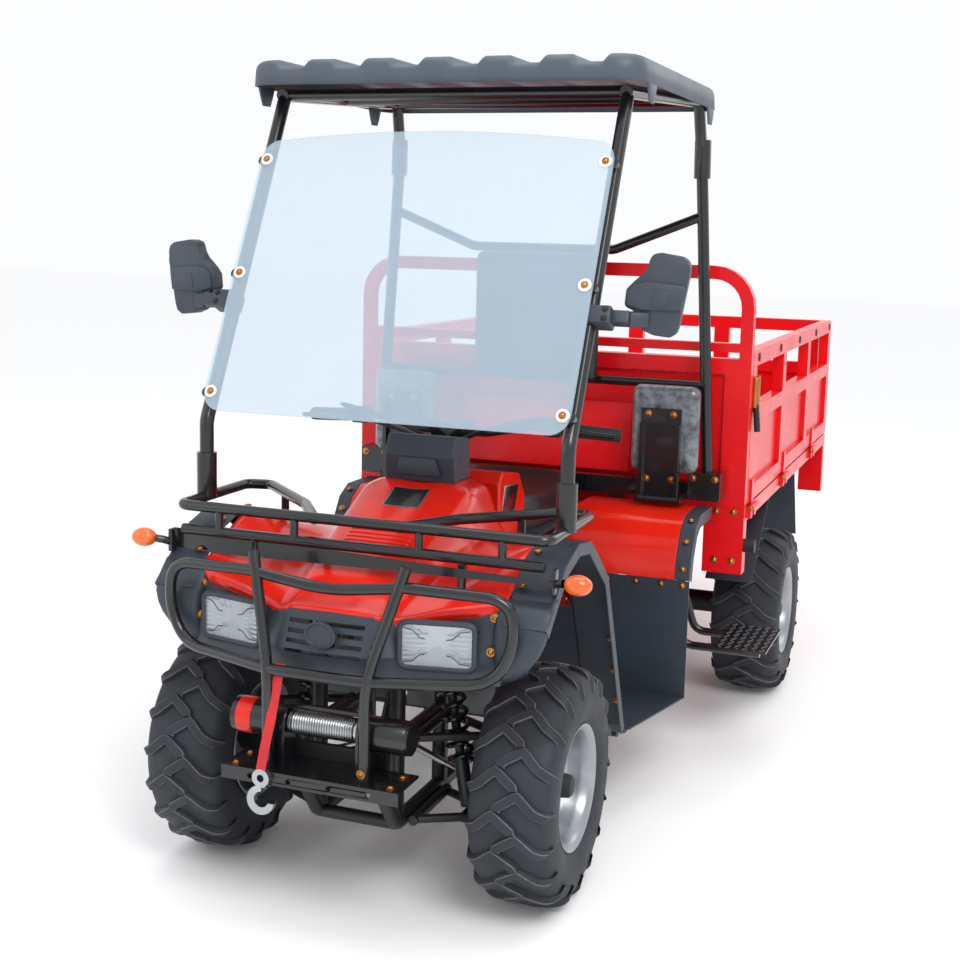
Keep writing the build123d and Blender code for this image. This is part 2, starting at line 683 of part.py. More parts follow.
def make_flares():
    """Wheel-arch flares beside the fender tops, running down behind the wheels."""
    band = across(strip(FLARE_LINE, SKIN), FENDER_X + SKIN / 2, FLARE_X)
    lip = across(strip(FLARE_LINE, FLARE_LIP), FLARE_X - SKIN, FLARE_X)
    return both_sides(band + lip)


def make_footwells():
    """Mud panel behind each front wheel, foot floor and leg wall in one moulding."""
    inner_x = ENGINE_HALF_WIDTH + BELT_COVER + 10
    front_wall = offset_line(FLARE_LINE[-2:], -GAP)
    wall_back = LEG_WALL_Y + 2 * SKIN
    wall_line = front_wall + [(470, FLOOR_Z), (wall_back, FLOOR_Z)]
    tray = across(strip(wall_line, -SKIN), inner_x, FLARE_X - SKIN - GAP)
    wall = block((inner_x, LEG_WALL_X), (wall_back - SKIN, wall_back), (FLOOR_Z, LEG_WALL_TOP))
    edge_start, edge_lap = 500, 40
    edge = [(FLARE_X, edge_start), (LEG_WALL_X, wall_back), (FLARE_X - edge_lap, wall_back),
            (FLARE_X - edge_lap, edge_start)]
    return both_sides(fuse([tray, wall, upright(edge, FLOOR_Z, FLOOR_Z + SKIN)]))


REAR_FENDER_LINE = [(LEG_WALL_Y + 4, LEG_WALL_TOP + SKIN / 2), (LEG_WALL_Y + 22, 630), (LEG_WALL_Y + 62, 692),
                    (LEG_WALL_Y + 120, FENDER_TOP), (BEAM_Y - 34, FENDER_TOP)]


def make_rear_fenders():
    """Red panels over the leg walls, with dark edge trims outside them."""
    seam = 495.0
    outline = strip(REAR_FENDER_LINE, SKIN)
    panel = across(outline, SEAT_HALF_WIDTH + 20, seam)
    lip = across(strip(REAR_FENDER_LINE, 36), LEG_WALL_X - SKIN, LEG_WALL_X)
    trim = across(outline, seam + GAP, LEG_WALL_X) + lip
    return {"rear_fenders": both_sides(panel), "rear_fender_trims": both_sides(trim)}


def make_rider_place():
    """Dash pod, tank cover and saddle on the frame's upper rails."""
    top = UPPER_RAIL_Z + RAIL_TUBE / 2
    pod_side = [(196, 884 + GAP), (190, 950), (214, 996), (300, 984), (310, 884 + GAP)]
    pod = across(pod_side, -92, 92)
    tank_side = [(404, 664), (400, 860), (430, 884), (560, 862), (604, 806), (604, 640)]
    tank = across(tank_side, -132, 132)
    tank -= block((-RAIL_X - 24, RAIL_X + 24), (300, 700), (500, top + 20 + GAP))
    seat_side = [(604 + GAP, 700), (604 + GAP, 790), (660, SEAT_TOP - 18), (780, SEAT_TOP - 24),
                 (940, SEAT_TOP), (985, 780), (985, 700)]
    seat = across(seat_side, -SEAT_HALF_WIDTH, SEAT_HALF_WIDTH)
    return {"dash_pod": pod, "tank_cover": tank, "rider_seat": seat}


def make_seat_pan():
    """Pan that carries the saddle between the rear fenders."""
    sides = [(-SEAT_HALF_WIDTH - 20 + GAP, 700 - GAP), (SEAT_HALF_WIDTH + 20 - GAP, 700 - GAP),
             (SEAT_HALF_WIDTH - 40, 648), (-SEAT_HALF_WIDTH + 40, 648)]
    return facing(sides, 610, 985)


def make_bull_bar():
    """Front guard of bent tube on the winch plate."""
    foot_z = PLATE_Z + PLATE_THICKNESS + GAP
    half = [
        (0, -339, 557),
        (113, -339, 557),
        (362, -262, 562),
        (408, -254, 660),
        (335, -262, 750),
        (178, -284, 795),
        (0, -284, 745),
    ]
    loop = fuse(both_sides(tube(half, BAR_TUBE, 40)))
    upright_line = [(113, -339, foot_z), (113, -339, 557), (178, -284, 795)]
    return fuse([loop] + both_sides(tube(upright_line, BAR_TUBE, 60)))


def make_rack():
    """Front carrier: two stacked front tubes and a loop over each fender."""
    weld_drop = 3.0
    half = [
        (0, RACK_FRONT_Y, RACK_Z),
        (RACK_SIDE_X, RACK_FRONT_Y, RACK_Z),
        (RACK_SIDE_X, 150, RACK_Z),
        (RACK_SIDE_X - 60, 165, RACK_Z),
        (190, -20, RACK_Z),
        (100, RACK_FRONT_Y, RACK_Z - weld_drop),
    ]
    pieces = both_sides(tube(half, BAR_TUBE, 22))
    reach = RACK_SIDE_X - 8
    pieces.append(bar((-reach, RACK_FRONT_Y, RACK_LOW_Z), (reach, RACK_FRONT_Y, RACK_LOW_Z), BAR_TUBE))
    post = BAR_TUBE - 6
    for x in (150, 340):
        for sign in (-1, 1):
            spot = (sign * x, RACK_FRONT_Y)
            pieces.append(bar((*spot, RACK_LOW_Z), (*spot, RACK_Z), post))
    for x, y, z in ((250, RACK_FRONT_Y, RACK_LOW_Z), (300, 85, RACK_Z)):
        spots = [(x + dx, y + dy) for dx in (-post / 2, post / 2) for dy in (-post / 2, post / 2)]
        foot = max(hood_height(*spot) for spot in spots) + GAP
        for sign in (-1, 1):
            pieces.append(bar((sign * x, y, foot), (sign * x, y, z), post))
    return fuse(pieces)


def make_winch():
    """Winch plate, winch with its drum, and the hook on the plate's front edge."""
    front, back = PLATE_FRONT_Y, FRONT_PLATE_Y - GAP
    top = PLATE_Z + PLATE_THICKNESS
    plate = block((-PLATE_HALF_WIDTH, PLATE_HALF_WIDTH), (front, back), (PLATE_Z, top))
    plate += block((-PLATE_HALF_WIDTH, PLATE_HALF_WIDTH), (front, front + PLATE_THICKNESS), (PLATE_Z - 24, top))
    bolt_hole = 11.0
    for x in (-138, -47, 47, 138):
        plate -= Pos(x, front, PLATE_Z - 10) * Rot(90, 0, 0) * Cylinder(bolt_hole / 2, 4 * PLATE_THICKNESS)

    motor, gearbox = 38.0, 36.0
    winch = round_bar(-214, -84, WINCH_Y, WINCH_Z, motor) + round_bar(84, 200, WINCH_Y, WINCH_Z, gearbox)
    for x in (-96, 96):
        winch += block((x - 12, x + 12), (WINCH_Y - 34, FRONT_PLATE_Y - 6), (top + GAP, WINCH_Z))
    for angle_y, angle_z in ((0, 36), (26, 26)):
        winch += round_bar(-96, 96, WINCH_Y + angle_y, WINCH_Z + angle_z, 6)
    drum = round_bar(-84 + GAP, 84 - GAP, WINCH_Y, WINCH_Z, 22)
    for x in (-78, 78):
        drum += round_bar(x - 4, x + 4, WINCH_Y, WINCH_Z, 26)

    eye = (-104, front - GAP - HOOK_THICKNESS / 2)
    hook_z = PLATE_Z - 6
    hook = Pos(eye[0], eye[1], hook_z) * Rot(90, 0, 0) * Cylinder(20, HOOK_THICKNESS)
    hook -= Pos(eye[0], eye[1], hook_z) * Rot(90, 0, 0) * Cylinder(8, HOOK_THICKNESS)
    claw = Pos(eye[0], eye[1], hook_z - 48) * Rot(90, 0, 0) * Cylinder(32, HOOK_THICKNESS)
    claw -= Pos(eye[0] + 2, eye[1], hook_z - 46) * Rot(90, 0, 0) * Cylinder(17, HOOK_THICKNESS)
    claw -= block((eye[0] + 2, eye[0] + 60), (eye[1] - 20, eye[1] + 20), (hook_z - 52, hook_z - 20))
    return {"winch_plate": plate, "winch": winch, "winch_drum": drum, "winch_hook": hook + claw}


def make_steering():
    """Column with its lower arm, handlebar, grips and levers, turning as one."""
    lean = math.radians(COLUMN_LEAN)
    axis = Vector(0, math.sin(lean), math.cos(lean))
    foot = Vector(0, COLUMN_FOOT_Y, COLUMN_FOOT_Z)
    length = (HANDLEBAR_HEIGHT - COLUMN_FOOT_Z) / math.cos(lean)
    head = foot + axis * length
    column = Plane(foot, z_dir=axis) * Cylinder(
        COLUMN_DIAMETER / 2, length, align=(Align.CENTER, Align.CENTER, Align.MIN))
    back = Vector(0, math.cos(lean), -math.sin(lean))
    tip = foot + back * PITMAN_LENGTH
    column += bar(tuple(foot - back * 10), tuple(tip), PITMAN_TUBE)
    column += Pos(tip.X, tip.Y, tip.Z - 6) * Box(2 * TIE_ROD_DIAMETER + 22, 24, 10)
    half = HANDLEBAR_WIDTH / 2
    reach = [(0, head.Y, head.Z), (95, head.Y, head.Z), (210, head.Y + 18, head.Z + 22), (half, head.Y + 74, head.Z + 6)]
    bar_half = tube(reach, HANDLEBAR_TUBE, 60)
    handlebar = fuse([column] + both_sides(bar_half))
    clamp = Pos(0, head.Y, head.Z) * Box(90, 44, 44)
    handlebar += clamp
    grip_run = Vector(*reach[3]) - Vector(*reach[2])
    start = Vector(*reach[3]) - grip_run.normalized() * GRIP_LENGTH
    grip = bar(tuple(start), reach[3], GRIP_DIAMETER) - tube(reach, HANDLEBAR_TUBE + 2 * GAP, 60)
    perch = start - grip_run.normalized() * 24
    lever_tip = perch + grip_run.normalized() * 150 + Vector(0, -58, 4)
    lever = bar(tuple(perch), tuple(perch + Vector(0, -40, 4)), 26)
    lever += bar(tuple(perch + Vector(0, -40, 4)), tuple(lever_tip), 12)
    handlebar = fuse([handlebar] + both_sides(lever))
    return {"handlebar": handlebar, "grips": both_sides(grip)}


def front_post_line():
    """Points of the left front post, foot first."""
    lean = math.tan(math.radians(POST_LEAN))
    top_y = POST_FOOT_Y + (POST_TOP_Z - POST_BEND_Z) * lean
    return [(RACK_SIDE_X, POST_FOOT_Y, RACK_Z), (RACK_SIDE_X, POST_FOOT_Y, POST_BEND_Z),
            (RACK_SIDE_X, top_y, POST_TOP_Z)]


def make_posts():
    """Front posts with screen clamps and mirrors, rear posts, and the rails under the roof."""
    line = front_post_line()
    foot, bend, top = (Vector(*point) for point in line)
    slope = (top - bend).normalized()
    normal = Vector(0, -slope.Z, slope.Y)
    ceiling = ROOF_TOP - ROOF_PANEL - ROOF_CHANNEL_DEPTH
    rear_top = (RACK_SIDE_X + 10, REAR_POST_Y - 40, ceiling - POST_TUBE / 2 - GAP)
    post = tube(line, POST_TUBE, 60)
    sleeve_top = RACK_Z + 105
    post += bar(line[0], (foot.X, foot.Y, sleeve_top), POST_TUBE + 14)
    spacer = SCREEN_STANDOFF - SCREEN_THICKNESS / 2 - GAP
    for share in SCREEN_BOLTS:
        at = bend + slope * (share * POST_RISE / slope.Z)
        post += bar(tuple(at), tuple(at + normal * spacer), 26)
    post -= bar((RACK_SIDE_X, -400, RACK_Z), (RACK_SIDE_X, 99, RACK_Z), BAR_TUBE + 2 * GAP)
    post -= block((0, 600), (-400, 99), (RACK_Z - 60, RACK_Z))
    run = (Vector(*rear_top) - top).normalized()
    cross_tube = POST_TUBE - 4
    overhang = run * (cross_tube / 2 + 4)
    rail_ends = [tuple(top - overhang), rear_top]
    post -= bar((0, top.Y, top.Z), (600, top.Y, top.Z), cross_tube + 2 * GAP)
    post -= block((0, 600), (top.Y - 60, top.Y + 90), (top.Z, top.Z + 60))
    post -= bar(*rail_ends, POST_TUBE + 2 * GAP)

    rails = both_sides(bar(*rail_ends, POST_TUBE))
    rear_in = Vector(*rear_top) - overhang
    for at in (top, (top + rear_in) * 0.5, rear_in):
        rails.append(bar((-at.X, at.Y, at.Z), tuple(at), cross_tube))
    rails = fuse(rails)
    posts = both_sides(post)

    beam_top = BEAM_Z + BEAM_HEIGHT + 31 + GAP
    rear_line = [(514, BEAM_Y, beam_top - 30), (RACK_SIDE_X + 16, REAR_POST_Y, ROOF_TOP - REAR_BEND_DROP), rear_top]
    rear_post = tube(rear_line, POST_TUBE, 40)
    sleeve_low, sleeve_high = ROOF_TOP - REAR_BEND_DROP - 60, ROOF_TOP - REAR_BEND_DROP + 45
    rear_post += bar((RACK_SIDE_X + 19, REAR_POST_Y, sleeve_low), (RACK_SIDE_X + 17, REAR_POST_Y, sleeve_high),
                     POST_TUBE + 14)
    rear_post -= rails
    rear_post -= block((400, 600), (BEAM_Y - 60, BEAM_Y + 60), (beam_top - 60, beam_top))
    rear_posts = both_sides(rear_post)
    high = ROOF_TOP - CROSSBAR_DROP
    dip = high - CROSSBAR_DIP
    crossbar = fuse(both_sides(tube([(0, REAR_POST_Y, dip), (215, REAR_POST_Y, dip), (462, REAR_POST_Y, high)],
                                    POST_TUBE - 6, 60)))
    crossbar += bar((-500, REAR_POST_Y, BACKREST_LOW), (500, REAR_POST_Y, BACKREST_LOW), POST_TUBE - 6)
    for x in (-150, 150):
        crossbar += bar((x, REAR_POST_Y, BACKREST_LOW), (x, REAR_POST_Y, dip), POST_TUBE - 12)
    for solid in rear_posts:
        crossbar -= solid
    pad_back = REAR_POST_Y - (POST_TUBE - 6) / 2 - GAP
    backrest = block((-190, 190), (pad_back - 56, pad_back), (BACKREST_LOW - 10, dip - 7))
    return {"front_posts": posts, "roof_rails": rails, "rear_posts": rear_posts, "rear_crossbar": crossbar,
            "backrest_pad": backrest}


def make_screen():
    """Flat clear windscreen standing off the leaning part of the posts."""
    bend, top = (Vector(*point) for point in front_post_line()[1:])
    slope = (top - bend).normalized()
    normal = Vector(0, -slope.Z, slope.Y)
    middle = Vector(0, bend.Y, bend.Z) + normal * SCREEN_STANDOFF
    plane = Plane(middle, x_dir=(1, 0, 0), z_dir=normal)
    rise = slope.Z
    low, high, crown = (share * POST_RISE / rise for share in (0.018, 0.831, 0.86))
    width = SCREEN_HALF_WIDTH
    outline = [(-width, low), (width, low), (width, high), (width - 60, crown - 8), (0, crown),
               (-width + 60, crown - 8), (-width, high)]
    if plane.y_dir.Z < 0:
        outline = [(u, -v) for u, v in outline]
    sheet = extrude(plane * Polygon(*outline, align=None), SCREEN_THICKNESS / 2, both=True)
    return sheet


def make_mirrors():
    """Rear-view mirrors on rods clamped to the front posts."""
    bend, top = (Vector(*point) for point in front_post_line()[1:])
    slope = (top - bend).normalized()
    at = bend + slope * (MIRROR_CLAMP * POST_RISE / slope.Z)
    clamp = bar(tuple(at - slope * 16), tuple(at + slope * 16), POST_TUBE + 16)
    elbow = (at.X + 60, at.Y - 4, at.Z + 20)
    centre = (585, at.Y + 45, at.Z + 52)
    arm = tube([tuple(at), elbow, (centre[0], centre[1] - 10, centre[2])], 14, 20)
    glass = Pos(*centre) * Rot(0, 0, 6) * extrude(
        Plane.XZ * RectangleRounded(128, 186, 40), 21, both=True)
    mirrors = both_sides(clamp + arm + glass)
    cut = bar(tuple(bend), tuple(top), POST_TUBE + 2 * GAP)
    return [mirrors[0] - cut, mirrors[1] - mirror(cut, about=Plane.YZ)]


def make_roof():
    """Moulded roof panel with ribs along it and a skirt with corner tabs."""
    def level(z, inset):
        width = 2 * (ROOF_HALF_WIDTH - inset)
        depth = ROOF_REAR_Y - ROOF_FRONT_Y - 2 * inset
        middle = (ROOF_FRONT_Y + ROOF_REAR_Y) / 2
        return Pos(0, middle, z) * RectangleRounded(width, depth, 70 - inset)
    lip = ROOF_TOP - 62
    edge = ROOF_TOP - 22
    outer = loft([level(lip, 0), level(edge, 4)], ruled=True) + loft([level(edge, 4), level(ROOF_TOP, 30)], ruled=True)
    wall = 5.0
    ceiling = ROOF_TOP - ROOF_PANEL - ROOF_CHANNEL_DEPTH
    inner = loft([level(lip, wall), level(ceiling, wall + 4)], ruled=True)
    roof = outer - inner
    pitch = 2 * (ROOF_HALF_WIDTH - 50) / ROOF_CHANNELS
    channel = pitch * 0.62
    for index in range(ROOF_CHANNELS):
        x = (index - (ROOF_CHANNELS - 1) / 2) * pitch
        roof -= block((x - channel / 2, x + channel / 2), (ROOF_FRONT_Y - 1, ROOF_REAR_Y - 90),
                      (ROOF_TOP - ROOF_CHANNEL_DEPTH, ROOF_TOP + 1))
    tab = wall
    for y_low, y_high in ((ROOF_FRONT_Y + 80, ROOF_FRONT_Y + 190), (ROOF_REAR_Y - 180, ROOF_REAR_Y - 80)):
        for side in (-1, 1):
            x = sorted((side * (ROOF_HALF_WIDTH - tab), side * ROOF_HALF_WIDTH))
            roof += block(x, (y_low, y_high), (lip - 44, lip + 2))
    return roof


def make_seat_beam():
    """Cross beam behind the rider that carries the rear posts and the folding seats."""
    beam_y = (BEAM_Y - 30, BEAM_Y + 30)
    beam = block((-550, 550), beam_y, (BEAM_Z, BEAM_Z + BEAM_HEIGHT))
    foot_half = 22.0
    for side in (-1, 1):
        box_x = sorted((side * 466, side * 558))
        beam += block(box_x, (BEAM_Y - 40, BEAM_Y + 40), (BEAM_Z + 4, BEAM_Z + BEAM_HEIGHT + 31))
        x = side * REAR_RAIL_X
        beam += block((x - foot_half, x + foot_half), (BEAM_Y - 20, BEAM_Y + 20), (REAR_RAIL_TOP + GAP, BEAM_Z))
        for ear in (JUMP_X[0] + 28, JUMP_X[1] - 46):
            low, high = sorted((side * ear, side * (ear + 8)))
            ear_line = [(JUMP_PIVOT_Y - 10, JUMP_PIVOT_Z - 10), (BEAM_Y - 30, BEAM_Z + 4),
                        (BEAM_Y - 30, BEAM_Z + 24), (JUMP_PIVOT_Y - 10, JUMP_PIVOT_Z + 10)]
            beam += across(ear_line, low, high)
    for side in (-1, 1):
        ends = sorted((side * (JUMP_X[0] + 28), side * (JUMP_X[1] - 38)))
        beam += axial(ends[0], ends[1], JUMP_PIVOT_Y, JUMP_PIVOT_Z, JUMP_PIN / 2)
    return beam


def make_jump_seats():
    """Folded-up passenger seats: a pressed bracket under a flat pad, pivoting at the foot."""
    low_x, high_x = JUMP_X[0] + 28 + 8 + GAP, JUMP_X[1] - 46 - GAP
    barrel = JUMP_PIN / 2 + GAP + 4
    plate_y = (JUMP_PIVOT_Y + 8, JUMP_PIVOT_Y + 14)
    bracket = axial(low_x, high_x, JUMP_PIVOT_Y, JUMP_PIVOT_Z, barrel)
    bracket += block((low_x, high_x), plate_y, (JUMP_PIVOT_Z, 1000))
    for x in (low_x + 6, high_x - 6):
        bracket += block((x - 6, x + 6), (JUMP_PIVOT_Y - 8, plate_y[1]), (JUMP_PIVOT_Z, 960))
    bracket -= axial(low_x - 1, high_x + 1, JUMP_PIVOT_Y, JUMP_PIVOT_Z, JUMP_PIN / 2 + GAP)
    pad = block(JUMP_X, (plate_y[1] + GAP, plate_y[1] + 54), (813, 1065))
    nodes = {}
    for side, index in (("left", 0), ("right", 1)):
        nodes[f"jump_seat_bracket_{side}"] = both_sides(bracket)[index]
        nodes[f"jump_seat_pad_{side}"] = both_sides(pad)[index]
    return nodes


HINGE_Y = (1265.0, 1865.0, 2530.0)
GATE_HINGE_X = (-400.0, 0.0, 400.0)
HINGE_LENGTH = 90.0


def hinge_knuckles(axis_at, centres, along):
    """Barrels of one hinge line: the middle third of each for the panel, the ends for the sill."""
    fixed, moving = [], []
    for centre in centres:
        third = HINGE_LENGTH / 3
        for part, low, high in ((fixed, -1.5, -0.5), (moving, -0.5, 0.5), (fixed, 0.5, 1.5)):
            start = centre + low * third + GAP
            end = centre + high * third - GAP
            part.append(along(start, end, axis_at))
    return fixed, moving


def make_bed():
    """Bed frame with its floor, headboard, two drop sides and a tailgate."""
    inner_x = BED_HALF_WIDTH - WALL
    sill_y = (BED_FRONT_Y, BED_REAR_Y)
    floor = block((-BED_HALF_WIDTH, BED_HALF_WIDTH), sill_y, (SILL_LOW, SILL_TOP))
    hollow_x = inner_x - SKIN
    floor -= block((-hollow_x, hollow_x), (BED_FRONT_Y + WALL, BED_REAR_Y - WALL), (SILL_LOW, SILL_TOP - SKIN))
    for y in (1240, 1660, 2080, 2500, 2880):
        floor += block((-BEARER_REACH, BEARER_REACH), (y - 25, y + 25), (REAR_RAIL_TOP + GAP, SILL_TOP - 1))
    sheet_x = inner_x - SWING
    floor += block((-sheet_x, sheet_x), (BED_FRONT_Y + WALL + SWING, BED_REAR_Y - WALL - SWING),
                   (SILL_TOP, SILL_TOP + SKIN))
    for side in (-1, 1):
        front_box = sorted((side * 494, side * BED_HALF_WIDTH))
        floor += block(front_box, (BED_FRONT_Y, BED_FRONT_Y + 50), (507, SILL_LOW))
        rear_box = sorted((side * 520, side * BED_HALF_WIDTH))
        floor += block(rear_box, (BED_REAR_Y - 45, BED_REAR_Y), (471, SILL_LOW))

    hinge_x = BED_HALF_WIDTH + HINGE_OUT
    gate_hinge_y = BED_REAR_Y + HINGE_OUT

    def along_y(start, end, x):
        return Pos(x, (start + end) / 2, HINGE_Z) * Rot(90, 0, 0) * Cylinder(HINGE_RADIUS, end - start)

    def along_x(start, end, y):
        return axial(start, end, y, HINGE_Z, HINGE_RADIUS)

    side_fixed, side_moving = hinge_knuckles(hinge_x, HINGE_Y, along_y)
    for barrel in side_fixed:
        floor += fuse(both_sides(barrel))
    third = HINGE_LENGTH / 3
    for y in HINGE_Y:
        for low, high in ((-1.5, -0.5), (0.5, 1.5)):
            leaf = block((BED_HALF_WIDTH - 1, hinge_x), (y + low * third + GAP, y + high * third - GAP),
                         (SILL_LOW + 6, HINGE_Z))
            floor += fuse(both_sides(leaf))
    gate_fixed, gate_moving = hinge_knuckles(gate_hinge_y, GATE_HINGE_X, along_x)
    for barrel in gate_fixed:
        floor += barrel
    for x in GATE_HINGE_X:
        for low, high in ((-1.5, -0.5), (0.5, 1.5)):
            floor += block((x + low * third + GAP, x + high * third - GAP), (BED_REAR_Y - 1, gate_hinge_y),
                           (SILL_LOW + 6, HINGE_Z))

    side_start = BED_FRONT_Y + WALL + SWING
    board, front_stake, *rest = make_drop_panel(
        side_start, BED_REAR_Y - GAP, side_bays=3,
        place=lambda solid: Pos(inner_x, 0, 0) * solid)
    for barrel, y in zip(side_moving, HINGE_Y):
        board += barrel
        leaf_y = (y - third / 2 + GAP, y + third / 2 - GAP)
        board += block((BED_HALF_WIDTH + GAP, BED_HALF_WIDTH + 6), leaf_y, (HINGE_Z + 2, HINGE_Z + 80))
        board += block((BED_HALF_WIDTH - 1, BED_HALF_WIDTH + 1), leaf_y, (WALL_LOW + 2, HINGE_Z + 80))
    latch_y = side_start + 20
    latch_low = MID_RAIL_Z + RAIL_HEIGHT / 2 + 6
    front_stake += block((BED_HALF_WIDTH - 1, BED_HALF_WIDTH + 10), (latch_y - 14, latch_y + 14),
                         (latch_low, latch_low + 86))
    front_stake += bar((BED_HALF_WIDTH + 7, latch_y, latch_low + 8), (BED_HALF_WIDTH + 14, latch_y + 8, latch_low - 70), 14)
    side = [board, front_stake, *rest]
    gate_half = inner_x - SWING
    gate, *gate_rest = make_drop_panel(-gate_half, gate_half, side_bays=3,
                           place=lambda solid: Pos(0, BED_REAR_Y - WALL, 0) * Rot(0, 0, 90) * solid)
    for barrel, x in zip(gate_moving, GATE_HINGE_X):
        gate += barrel
        leaf_x = (x - third / 2 + GAP, x + third / 2 - GAP)
        gate += block(leaf_x, (BED_REAR_Y + GAP, BED_REAR_Y + 6), (HINGE_Z + 2, HINGE_Z + 80))
        gate += block(leaf_x, (BED_REAR_Y - 1, BED_REAR_Y + 1), (WALL_LOW + 2, HINGE_Z + 80))
    return {
        "bed_floor": floor,
        "headboard": make_headboard(),
        "side_panel_left": side,
        "side_panel_right": [mirror(solid, about=Plane.YZ) for solid in side],
        "tailgate": [gate, *gate_rest],
    }


def make_drop_panel(start, end, side_bays, place):
    """Pressed board along Y with stakes and a rail above it, outer face at x = WALL."""
    mid_low, mid_high = MID_RAIL_Z - RAIL_HEIGHT / 2, MID_RAIL_Z + RAIL_HEIGHT / 2
    rail_low = WALL_TOP - RAIL_HEIGHT
    board = block((0, WALL), (start, end), (WALL_LOW, mid_high))
    stile = 60.0
    bay = (end - start - stile) / side_bays
    stakes = [block((0, WALL), (start, start + stile), (mid_high + GAP, rail_low - GAP))]
    for index in range(side_bays):
        low = start + stile + index * bay
        high = low + bay - stile
        stakes.append(block((0, WALL), (high, high + stile), (mid_high + GAP, rail_low - GAP)))
        for x in ((SKIN + WALL / 2, WALL + 1), (-1, WALL / 2 - SKIN)):
            board -= block(x, (low, high), (WALL_LOW + RAIL_HEIGHT, mid_low))
    rail = block((0, WALL), (start, end), (rail_low, WALL_TOP))
    return [place(solid) for solid in (board, stakes[0], rail, *stakes[1:])]


def arched(half_width, low, high, radius):
    """Outline of an arch with rounded upper corners, as (x, z) points."""
    corner = [(half_width - radius + radius * math.cos(a), high - radius + radius * math.sin(a))
              for a in (math.pi / 2 * step / ARCH_STEPS for step in range(ARCH_STEPS + 1))]
    right = [(half_width, low)] + corner
    return right + [(-x, z) for x, z in right[::-1]]


def make_headboard():
    """Fixed front wall with an arched tube rail above it."""
    y = (BED_FRONT_Y, BED_FRONT_Y + WALL)
    low = SILL_TOP
    outer = facing(arched(BED_HALF_WIDTH, low, HEADBOARD_TOP, HEADBOARD_BEND), *y)
    in_x = BED_HALF_WIDTH - WALL
    rail = 38.0
    gap_low = WALL_TOP + 22
    outer -= facing(arched(in_x, gap_low, HEADBOARD_TOP - rail, HEADBOARD_BEND - rail), y[0] - 1, y[1] + 1)
    board_top = WALL_TOP - 22
    outer -= block((-in_x, in_x), (y[0] - 1, y[1] + 1), (board_top, WALL_TOP - 4))
    for face in ((y[0] - 1, y[0] + WALL / 2 - SKIN), (y[1] - WALL / 2 + SKIN, y[1] + 1)):
        for side in (-1, 1):
            x = sorted((side * 40, side * (in_x - 40)))
            outer -= block(x, face, (low + RAIL_HEIGHT, board_top - RAIL_HEIGHT))
    box = [(y[0] + WALL / 2, 790), (y[0] + WALL / 2, 990), (y[0] - 10, 990), (y[0] - 36, 800), (y[0] - 36, 790)]
    return outer + across(box, -270, 270)


def make_bed_fittings():
    """Mudguards under the sills, rubber buffers, tail lamps and steps."""
    top = SILL_LOW - GAP
    line = [(1426, 426), (1700, top), (2230, top), (2354, 403)]
    guard = across(strip(line, SKIN), 455, 600)
    front_radius = BUFFER_DIAMETER / 2
    buffers = []
    for y, z in ((BED_FRONT_Y + 25, 590),):
        buffers.append(axial(BED_HALF_WIDTH + GAP, BED_HALF_WIDTH + BUFFER_LENGTH, y, z, front_radius))
    rear = Pos(566, BED_REAR_Y + GAP / 2 + BUFFER_LENGTH / 2, 520) * Rot(90, 0, 0)
    buffers.append(rear * Cylinder(front_radius, BUFFER_LENGTH - GAP))
    all_buffers = []
    for solid in buffers:
        all_buffers += both_sides(solid)
    lamp = block((380, 510), (BED_REAR_Y - 34, BED_REAR_Y - 2), (SILL_LOW - 72, SILL_LOW - GAP))
    step_z = 330.0
    step = block((575, 722), (990, 1260), (step_z, step_z + 5))
    for y in (1030, 1190):
        arm = tube([(REAR_RAIL_X + REAR_RAIL_WIDTH / 2 + GAP, y, 560), (400, y, 560), (480, y, step_z - 10),
                    (700, y, step_z - 10)], 24, 40)
        step += arm
    return {"rear_mudguards": both_sides(guard), "buffers": all_buffers, "tail_lamps": both_sides(lamp),
            "steps": both_sides(step)}


def make_indicators():
    """Amber turn lamps on stalks beside the front flares."""
    y, z = -185.0, 773.0
    lamp = round_bar(490, 542, y, z, 24)
    lamp += tube([(FLARE_X + GAP, y, 702), (FLARE_X + 18, y, 702), (FLARE_X + 40, y, z)], 14, 10)
    return both_sides(lamp)


def make_exhaust():
    """Silencer under the right rail with its pipe from the engine."""
    length = 360.0
    middle = (-150, 1400, 400)
    silencer = Pos(*middle) * Rot(90, 0, 0) * Cylinder(52, length)
    silencer += tube([(-60, 820 + GAP, 380), (-60, 960, 380), (-150, 1120, 400), (-150, 1300, 400)], 34, 50)
    hanger_top = REAR_RAIL_TOP - REAR_RAIL_HEIGHT / 2 - 25 - GAP
    silencer += block((-162, -138), (1488, 1512), (400, hanger_top))
    return silencer


def make_all():
    """Every node by its name, still with the front axle at y = 0."""
    nodes, hubs = make_wheels()
    nodes |= make_front_suspension(hubs)
    nodes |= make_spring_legs()
    nodes["chassis_frame"] = make_chassis()
    nodes["engine"] = make_engine()
    nodes |= make_rear_axle(hubs)
    nodes |= make_winch()
    nodes["bull_bar"] = make_bull_bar()
    nodes["front_rack"] = make_rack()
    nodes |= make_nose()
    nodes["hood"] = make_hood()
    nodes["front_flares"] = make_flares()
    nodes["indicators"] = make_indicators()
    nodes["footwells"] = make_footwells()
    nodes |= make_rear_fenders()
    nodes |= make_rider_place()
    nodes["seat_pan"] = make_seat_pan()
    nodes |= make_steering()
    nodes |= make_posts()
    nodes["windscreen"] = make_screen()
    nodes["mirrors"] = make_mirrors()
    nodes["roof"] = make_roof()
    nodes["seat_beam"] = make_seat_beam()
    nodes |= make_jump_seats()
    nodes |= make_bed()
    nodes |= make_bed_fittings()
    nodes["exhaust"] = make_exhaust()
    return nodes


